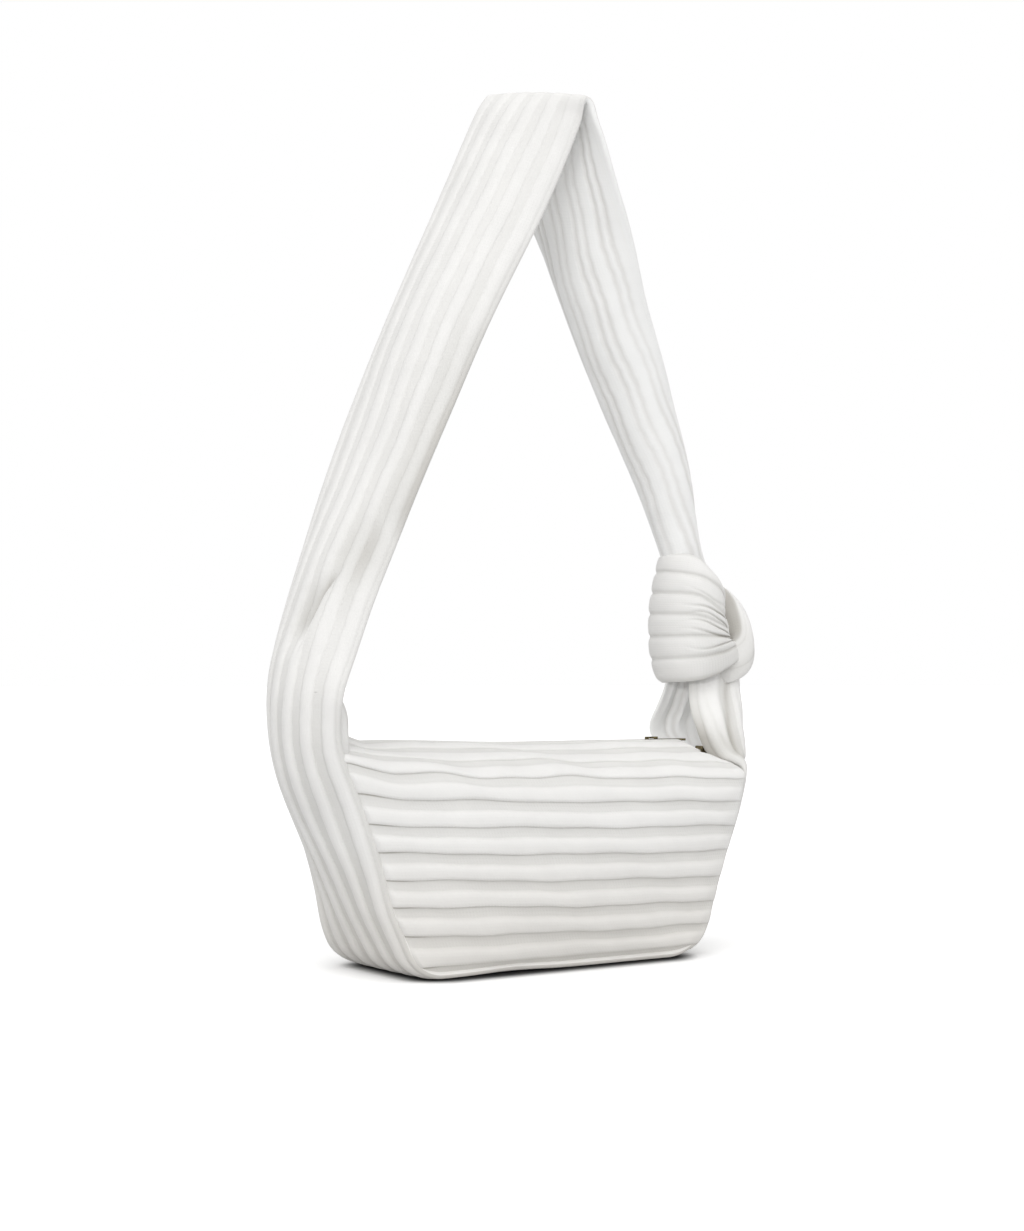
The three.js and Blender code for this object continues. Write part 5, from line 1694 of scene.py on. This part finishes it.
@dataclass
class Zip:
    """Zip of the mouth: two woven tapes, two rows of cast teeth with their stops, a knit tab at each end."""

    half: float = 109.0
    tape_in: float = 3.4
    tape_out: float = 14.9
    tape_top: float = 131.9
    tape_fall: float = 3.8
    tape_thick: float = 0.8
    tape_flat_m: float = 0.0125
    pitch: float = 5.0  # real teeth stand near 2.5 mm apart, drawn coarser so that each one shows
    first: float = -102.7
    last: float = 97.0
    tooth_half: float = 1.15
    tooth_from: float = 3.1
    tooth_past: float = 0.9
    chain_low: float = 130.3
    chain_high: float = 132.7
    stop_x: float = 109.95
    tab_start: float = 110.9
    tab_half: float = 6.1
    tab_low: float = 132.5
    tab_high: float = 135.0
    left_tab: float = 22.0
    right_tab: float = 29.0
    tail_drop: float = 4.5

    def tape(self, face: Face, end: End) -> Sheet:
        """Half of one tape: flat near the teeth, falling away under the lip.

        Args:
            face: Front or back tape.
            end: Left or right half.

        Returns:
            The sheet.
        """
        x = np.linspace(0.0, self.half, 60)[:, None] * end.value
        depth = np.linspace(self.tape_out, self.tape_in, 12)[None, :]
        fall = self.tape_fall * ((depth - self.tape_in) / (self.tape_out - self.tape_in)) ** 1.6
        z = self.tape_top - fall
        x, depth, z = np.broadcast_arrays(x, depth, z)
        top = np.stack([x, face.value * depth, z], -1)
        low = top - np.array([0.0, 0.0, self.tape_thick])
        zero = np.zeros_like(x)
        return Sheet(top, low, np.abs(x), depth, zero, zero)

    def teeth(self, x: Array, face: Face) -> tuple[Array, Array]:
        """Cast teeth: rounded bars across the chain, slim in the neck and blunt at the tip.

        Args:
            x: Middles of the teeth.
            face: The tape that they grow from.

        Returns:
            Points and quads.
        """
        share = np.array([0.0, 0.35, 0.6, 0.88, 1.0])[:, None]
        wide = np.array([1.0, 0.75, 1.0, 0.95, 0.6])[:, None] * self.tooth_half
        high = np.array([1.0, 0.85, 1.0, 0.95, 0.6])[:, None] * (self.chain_high - self.chain_low) / 2
        turn = np.linspace(0, 2 * np.pi, 9)[:-1][None, :] + np.pi / 8
        y = face.value * (self.tooth_from - (self.tooth_from + self.tooth_past) * share)
        across, up = np.cos(turn) * wide * 1.08, np.sin(turn) * high * 1.08
        one = np.stack(np.broadcast_arrays(across, y, up + (self.chain_low + self.chain_high) / 2), -1)
        points = one[None] + x[:, None, None, None] * np.array([1.0, 0.0, 0.0])
        count = one.shape[0] * one.shape[1]
        quads = tube_quads(*one.shape[:2])[None] + count * np.arange(len(x))[:, None, None]
        return points.reshape(-1, 3), quads.reshape(-1, 4)

    def tab(self, end: End, long: float, drop: float) -> Sheet:
        """A folded tab of knit beyond the end of the zip, with rounded edges.

        Args:
            end: Which end.
            long: Its length.
            drop: How far its free end falls.

        Returns:
            The sheet.
        """
        share = np.linspace(0, 1, 20)[:, None]
        side = np.linspace(-1, 1, 17)[None, :]
        full = np.sqrt(np.clip((1 - side**6) * (1 - (2 * share - 1) ** 12), 0.04, 1.0))
        half = (self.tab_high - self.tab_low) / 2 * full
        middle = (self.tab_high + self.tab_low) / 2 - drop * ease(share)
        x, y, _ = np.broadcast_arrays(end.value * (self.tab_start + long * share), self.tab_half * side, full)
        top = np.stack([x, y, middle + half], -1)
        low = np.stack([x, y, middle - half], -1)
        zero = np.zeros_like(x)
        return Sheet(top, low, np.abs(x), y, zero + 0.3, zero + 0.3)

    def build(self, finishes: Finishes) -> None:
        """Makes tapes, teeth and tabs, and hangs the tabs on the bag's body.

        Args:
            finishes: The bag's materials.
        """
        for face in Face:
            name = face.name.lower()
            first = self.first + (0.0 if face is Face.FRONT else self.pitch / 2)
            x = np.arange(first, self.last, self.pitch)
            for end in End:
                side = end.name.lower()
                tape = sheet_object(f"{name}_zip_tape_{side}", self.tape(face, end))
                dress(tape, finishes.tape, "zip_tape", f"{name}_zip_tape")
                own = x[x * end.value > 0]
                if end is End.RIGHT:
                    own = np.append(own, self.stop_x)
                points, quads = self.teeth(own, face)
                plain = np.zeros((len(points), 3))
                row = mesh_object(f"{name}_zip_teeth_{side}", points, quads, plain[:, :2], plain[:, 2])
                nodes = [f"{name}_zip_teeth"] + ([f"{name}_top_stop"] if end is End.RIGHT else [])
                dress(row, finishes.brass, "antique_brass", *nodes)
                for piece in (tape, row):
                    bend_lip(piece)
        for end, long, drop in ((End.LEFT, self.left_tab, 0.0), (End.RIGHT, self.right_tab, self.tail_drop)):
            name = f"{end.name.lower()}_zip_tab"
            tab = sheet_object(f"{name}_knit", self.tab(end, long, drop))
            dress(tab, finishes.knit, "rib_knit", name)
            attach(tab, "bag")


@dataclass
class Lining:
    """Twill bag inside the knit, open at the top, with a slip pocket sewn on its back."""

    low: float = 8.1
    top: float = 108.0
    thick: float = 0.9
    inset: float = 14.5
    gap: float = 7.8
    power: float = 4.0
    wrinkle: float = 0.6
    pocket_half: float = 47.0
    pocket_low: float = 31.0
    pocket_top: float = 92.0
    pocket_room: float = 7.0
    hem: float = 4.0
    flat_m: Pair = (0.62, 0.19)
    cut_area_m2: float = 0.085
    pocket_flat_m: Pair = (0.097, 0.066)
    section: Array = field(default_factory=lambda: Panels().dense)

    def sizes(self, z: Array) -> tuple[Array, Array, Array]:
        """Half lengths to the left and right, and half depth, at heights."""
        ends = []
        for end in End:
            seam = SEAMS[end]
            turn = seam.turn_at(z)
            bulge = seam.band_width / 2 / turn * (1 - np.cos(turn))
            ends.append(seam.x_at(z) + bulge - self.inset)
        return ends[0], ends[1], np.interp(z, self.section[:, 1], self.section[:, 0]) - self.gap

    def ring(self, z: Array, turn: Array, inset: Array) -> Array:
        """Rings of the lining: |x / a|^4 + |y / b|^4 = 1, with shallow wrinkles.

        Args:
            z: Heights, shape (n, 1).
            turn: Angles round, shape (1, m).
            inset: How far the wall is moved inwards, shape (n, 1).

        Returns:
            Points, shape (n, m, 3).
        """
        left, right, depth = self.sizes(z)
        c, s = np.cos(turn), np.sin(turn)
        root = 2.0 / self.power
        folds = np.sin(7 * turn + 0.05 * z) + 0.7 * np.sin(13 * turn - 0.07 * z)
        slack = self.wrinkle * folds * ease((z - self.low) / 30.0) - inset
        x = np.sign(c) * np.abs(c) ** root * (np.where(c > 0, right, left) + slack)
        y = np.sign(s) * np.abs(s) ** root * (depth + slack)
        return np.stack([x, y, z + 0 * turn], -1)

    def bag(self) -> tuple[Array, Array, Array]:
        """The lining as a tube turned in on itself: up the outside, over the hem and down the inside.

        Returns:
            Rings of points, lengths along the tube, and zeros for the ribs.
        """
        up = np.linspace(self.low, self.top, 40)
        down = np.linspace(self.top, self.low + self.thick, 40)
        z = np.concatenate([up, down])[:, None]
        inset = np.concatenate([np.zeros(40), np.full(40, self.thick)])[:, None]
        corner = 5.0 * (1 - ease((z - self.low) / 9.0))
        turn = np.linspace(0, 2 * np.pi, 161)[:-1][None, :]
        rings = self.ring(z, turn, inset + corner)
        return rings, run_length(rings[:, 0]), np.zeros(rings.shape[:2])

    def pocket(self) -> Sheet:
        """The slip pocket: sewn down at its sides and foot, standing off the lining at its hemmed top."""
        x = np.linspace(-self.pocket_half, self.pocket_half, 60)[:, None]
        z = np.linspace(self.pocket_low, self.pocket_top, 40)[None, :]
        left, right, depth = self.sizes(z)
        half = np.where(x > 0, right, left)
        wall = depth * (1 - np.minimum(1.0, np.abs(x) / half) ** self.power) ** (1 / self.power)
        across = np.cos(x / self.pocket_half * np.pi / 2) ** 0.8
        off = self.pocket_room * across * ease((z - self.pocket_low) / (self.pocket_top - self.pocket_low))
        y = wall - self.thick - self.wrinkle * 1.8 - 0.5 - off
        hem = 1.0 + 0.8 * ease((z - self.pocket_top + self.hem) / 0.6) * (z < self.pocket_top)
        x, y, z, hem = np.broadcast_arrays(x, y, z, hem)
        outer = np.stack([x, y - self.thick * hem, z], -1)
        inner = np.stack([x, y, z], -1)
        zero = np.zeros_like(x)
        return Sheet(outer, inner, x, z, zero, zero)

    def build(self, finishes: Finishes) -> None:
        """Makes the lining and its pocket.

        Args:
            finishes: The bag's materials.
        """
        bag = tube_object("lining_twill", *self.bag())
        walls = [f"{side}_lining" for side in ("front", "back", "base", "left", "right")]
        dress(bag, finishes.twill, "lining_twill", *walls)
        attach(bag, "bag")
        pocket = sheet_object("slip_pocket_twill", self.pocket())
        dress(pocket, finishes.twill, "lining_twill", "inner_pocket")
        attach(pocket, "bag")


@dataclass
class Studio:
    """White floor, soft light from above and the camera at the photograph's angle."""

    focal_px: float = 2000.0
    image_height_px: float = 1231.0
    sensor_mm: float = 36.0
    azimuth: float = 33.4
    pitch_up: float = 1.9
    place: Triple = (-0.7002, -1.0501, 0.1747)
    sky: float = 0.56
    # Name, light on a face square to it, the way it comes from, and its width in degrees
    lamps: tuple[tuple[str, float, Triple, float], ...] = (
        ("overhead_softbox", 0.33, (-0.25, -0.2, 1.0), 80.0),
        ("front_softbox", 0.37, (-0.5, -0.85, 0.35), 70.0),
    )
    reflector_from: Triple = (-0.62, -0.43, 0.29)
    reflector_to: Triple = (0.145, 0.02, 0.155)
    reflector_watts: float = 5.5
    reflector_width: float = 9.0
    reflector_size: float = 0.03
    glow: float = 0.22
    floor_half: float = 60.0
    foot: Pair = (0.078, 0.030)  # half sizes of the base without its rounded rim
    dark_reach: Pair = (0.017, 0.034)  # from it to the end of the darkest painted contact shadow, and to white
    # tone of the contact shadow painted on the floor round the base
    dark: str = "505050"
    floor_tone: str = "d4d4d4"  # how the floor lights the bag from below

    @staticmethod
    def aimed(name: str, data: bpy.types.ID, way: Vector, place: Triple = (0, 0, 0)) -> bpy.types.Object:
        """Puts a camera or a lamp in the scene.

        Args:
            name: Its name.
            data: Its camera or light.
            way: The way it looks.
            place: Where it stands, in metres.

        Returns:
            The object.
        """
        made = bpy.data.objects.new(name, data)
        made.location = place
        made.rotation_euler = way.to_track_quat("-Z", "Y").to_euler()
        bpy.context.scene.collection.objects.link(made)
        return made

    def camera(self) -> None:
        """Makes the camera: its focal length in sensor heights is the photograph's in pixels."""
        data = bpy.data.cameras.new("photo_camera")
        data.sensor_fit = "VERTICAL"
        data.sensor_height = self.sensor_mm
        data.lens = self.focal_px / self.image_height_px * self.sensor_mm
        data.clip_start = 0.01
        turn, up = math.radians(self.azimuth), math.radians(self.pitch_up)
        ahead = Vector((math.sin(turn) * math.cos(up), math.cos(turn) * math.cos(up), math.sin(up)))
        bpy.context.scene.camera = self.aimed("photo_camera", data, ahead, self.place)

    def floor(self) -> None:
        """Makes the floor: white paper with a little of its own light for the camera, and a contact shadow
        painted dark round and under the bag.
        """
        material, tree, surface = new_material("white_paper_floor")
        rays = tuple(add_node(tree, "LightPath", output=f"Is {ray} Ray") for ray in ("Camera", "Glossy"))
        seen = add_node(tree, "Math", rays, operation="MAXIMUM")
        place = add_node(tree, "TexCoord", output="Object")
        away = add_node(tree, "VectorMath", (place,), operation="ABSOLUTE")
        past = add_node(tree, "VectorMath", (away, (*self.foot, 0.0)), operation="SUBTRACT")
        outside = add_node(tree, "VectorMath", (past, (0.0, 0.0, 0.0)), operation="MAXIMUM")
        gap = add_node(tree, "VectorMath", (outside,), "Value", operation="LENGTH")
        near, far = self.dark_reach
        reach = (gap, near, far, 0.0, 1.0)
        clear = add_node(tree, "MapRange", reach, interpolation_type="SMOOTHSTEP")
        # Contact shadow painted into the paper round the base
        tones = {0: clear, 6: linear(self.dark), 7: linear("ffffff")}
        paper = add_node(tree, "BsdfDiffuse", (add_node(tree, "Mix", tones, 2, data_type="RGBA"),))
        dim = add_node(tree, "BsdfDiffuse", (linear(self.floor_tone),))
        strength = add_node(tree, "MapRange", (gap, near, 1.5 * far, 0.0, self.glow))
        glow = add_node(tree, "Emission", {"Color": linear("ffffff"), "Strength": strength})
        bright = add_node(tree, "AddShader", (paper, glow))
        tree.links.new(add_node(tree, "MixShader", (seen, dim, bright)), surface)
        corners = np.array([[-1, -1, 0], [1, -1, 0], [1, 1, 0], [-1, 1, 0]]) * self.floor_half
        mesh = bpy.data.meshes.new("floor")
        mesh.from_pydata(corners.tolist(), [], [(0, 1, 2, 3)])
        mesh.materials.append(material)
        made = bpy.data.objects.new("floor", mesh)
        bpy.context.scene.collection.objects.link(made)

    def light(self) -> None:
        """Makes an even sky, pure white to the camera, two wide soft lamps and a reflector for the fan."""
        world = bpy.data.worlds.new("studio_sky")
        bpy.context.scene.world = world
        world.use_nodes = True
        tree = world.node_tree
        tree.nodes.clear()
        seen = add_node(tree, "LightPath", output="Is Camera Ray")
        for ray in ("Glossy", "Transmission"):
            other = add_node(tree, "LightPath", output=f"Is {ray} Ray")
            seen = add_node(tree, "Math", (seen, other), operation="MAXIMUM")
        level = add_node(tree, "MapRange", {"Value": seen, "To Min": self.sky, "To Max": 1.0})
        back = add_node(tree, "Background", {"Color": linear("ffffff"), "Strength": level})
        tree.links.new(back, tree.nodes.new("ShaderNodeOutputWorld").inputs["Surface"])
        for name, strength, source, width in self.lamps:
            lamp = bpy.data.lights.new(name, "SUN")
            lamp.angle = math.radians(width)
            lamp.energy = strength * math.pi
            self.aimed(name, lamp, -Vector(source))
        spot = bpy.data.lights.new("knot_reflector", "SPOT")
        spot.energy = self.reflector_watts
        spot.spot_size = math.radians(self.reflector_width)
        spot.spot_blend = 1.0
        spot.shadow_soft_size = self.reflector_size
        aim = Vector(self.reflector_to) - Vector(self.reflector_from)
        made = self.aimed("knot_reflector", spot, aim, self.reflector_from)
        lit = bpy.data.collections.new("knot_reflector_lights")
        lit.objects.link(bpy.data.objects["knot_end_knit"])
        made.light_linking.receiver_collection = lit

    def build(self) -> None:
        """Sets the view and makes camera, floor and light."""
        bpy.context.scene.view_settings.view_transform = "Standard"
        self.camera()
        self.floor()
        self.light()


def dress_solids(finishes: Finishes) -> None:
    """Gives the solids that stay in view their procedural materials."""
    looks = {
        "antique_brass": finishes.brass,
        "base_board": finishes.board,
        "lining_twill": finishes.twill,
        "fleece": finishes.fleece,
        "zip_tape": finishes.tape,
        "rib_knit": finishes.knit,
    }
    slots = {part["node"]: part["material_slot"] for part in FRAME["record"]["subparts"]}
    for node in FRAME["nodes"].values():
        node.data.materials.clear()
        node.data.materials.append(looks[slots[node["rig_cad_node"]]])


def main() -> None:
    """Builds the bag's pieces in order, and the studio around them."""
    logging.basicConfig(level=logging.INFO, format="%(name)s %(message)s")
    finishes = Finishes()
    dress_solids(finishes)
    Panels().build(finishes)
    StrapBand().build(finishes)
    KnotEnd().build(finishes)
    Knot().build(finishes)
    RootTongue().build(finishes)
    CornerWeb().build(finishes)
    Zip().build(finishes)
    Lining().build(finishes)
    Studio().build()


if __name__ == "__main__":
    main()
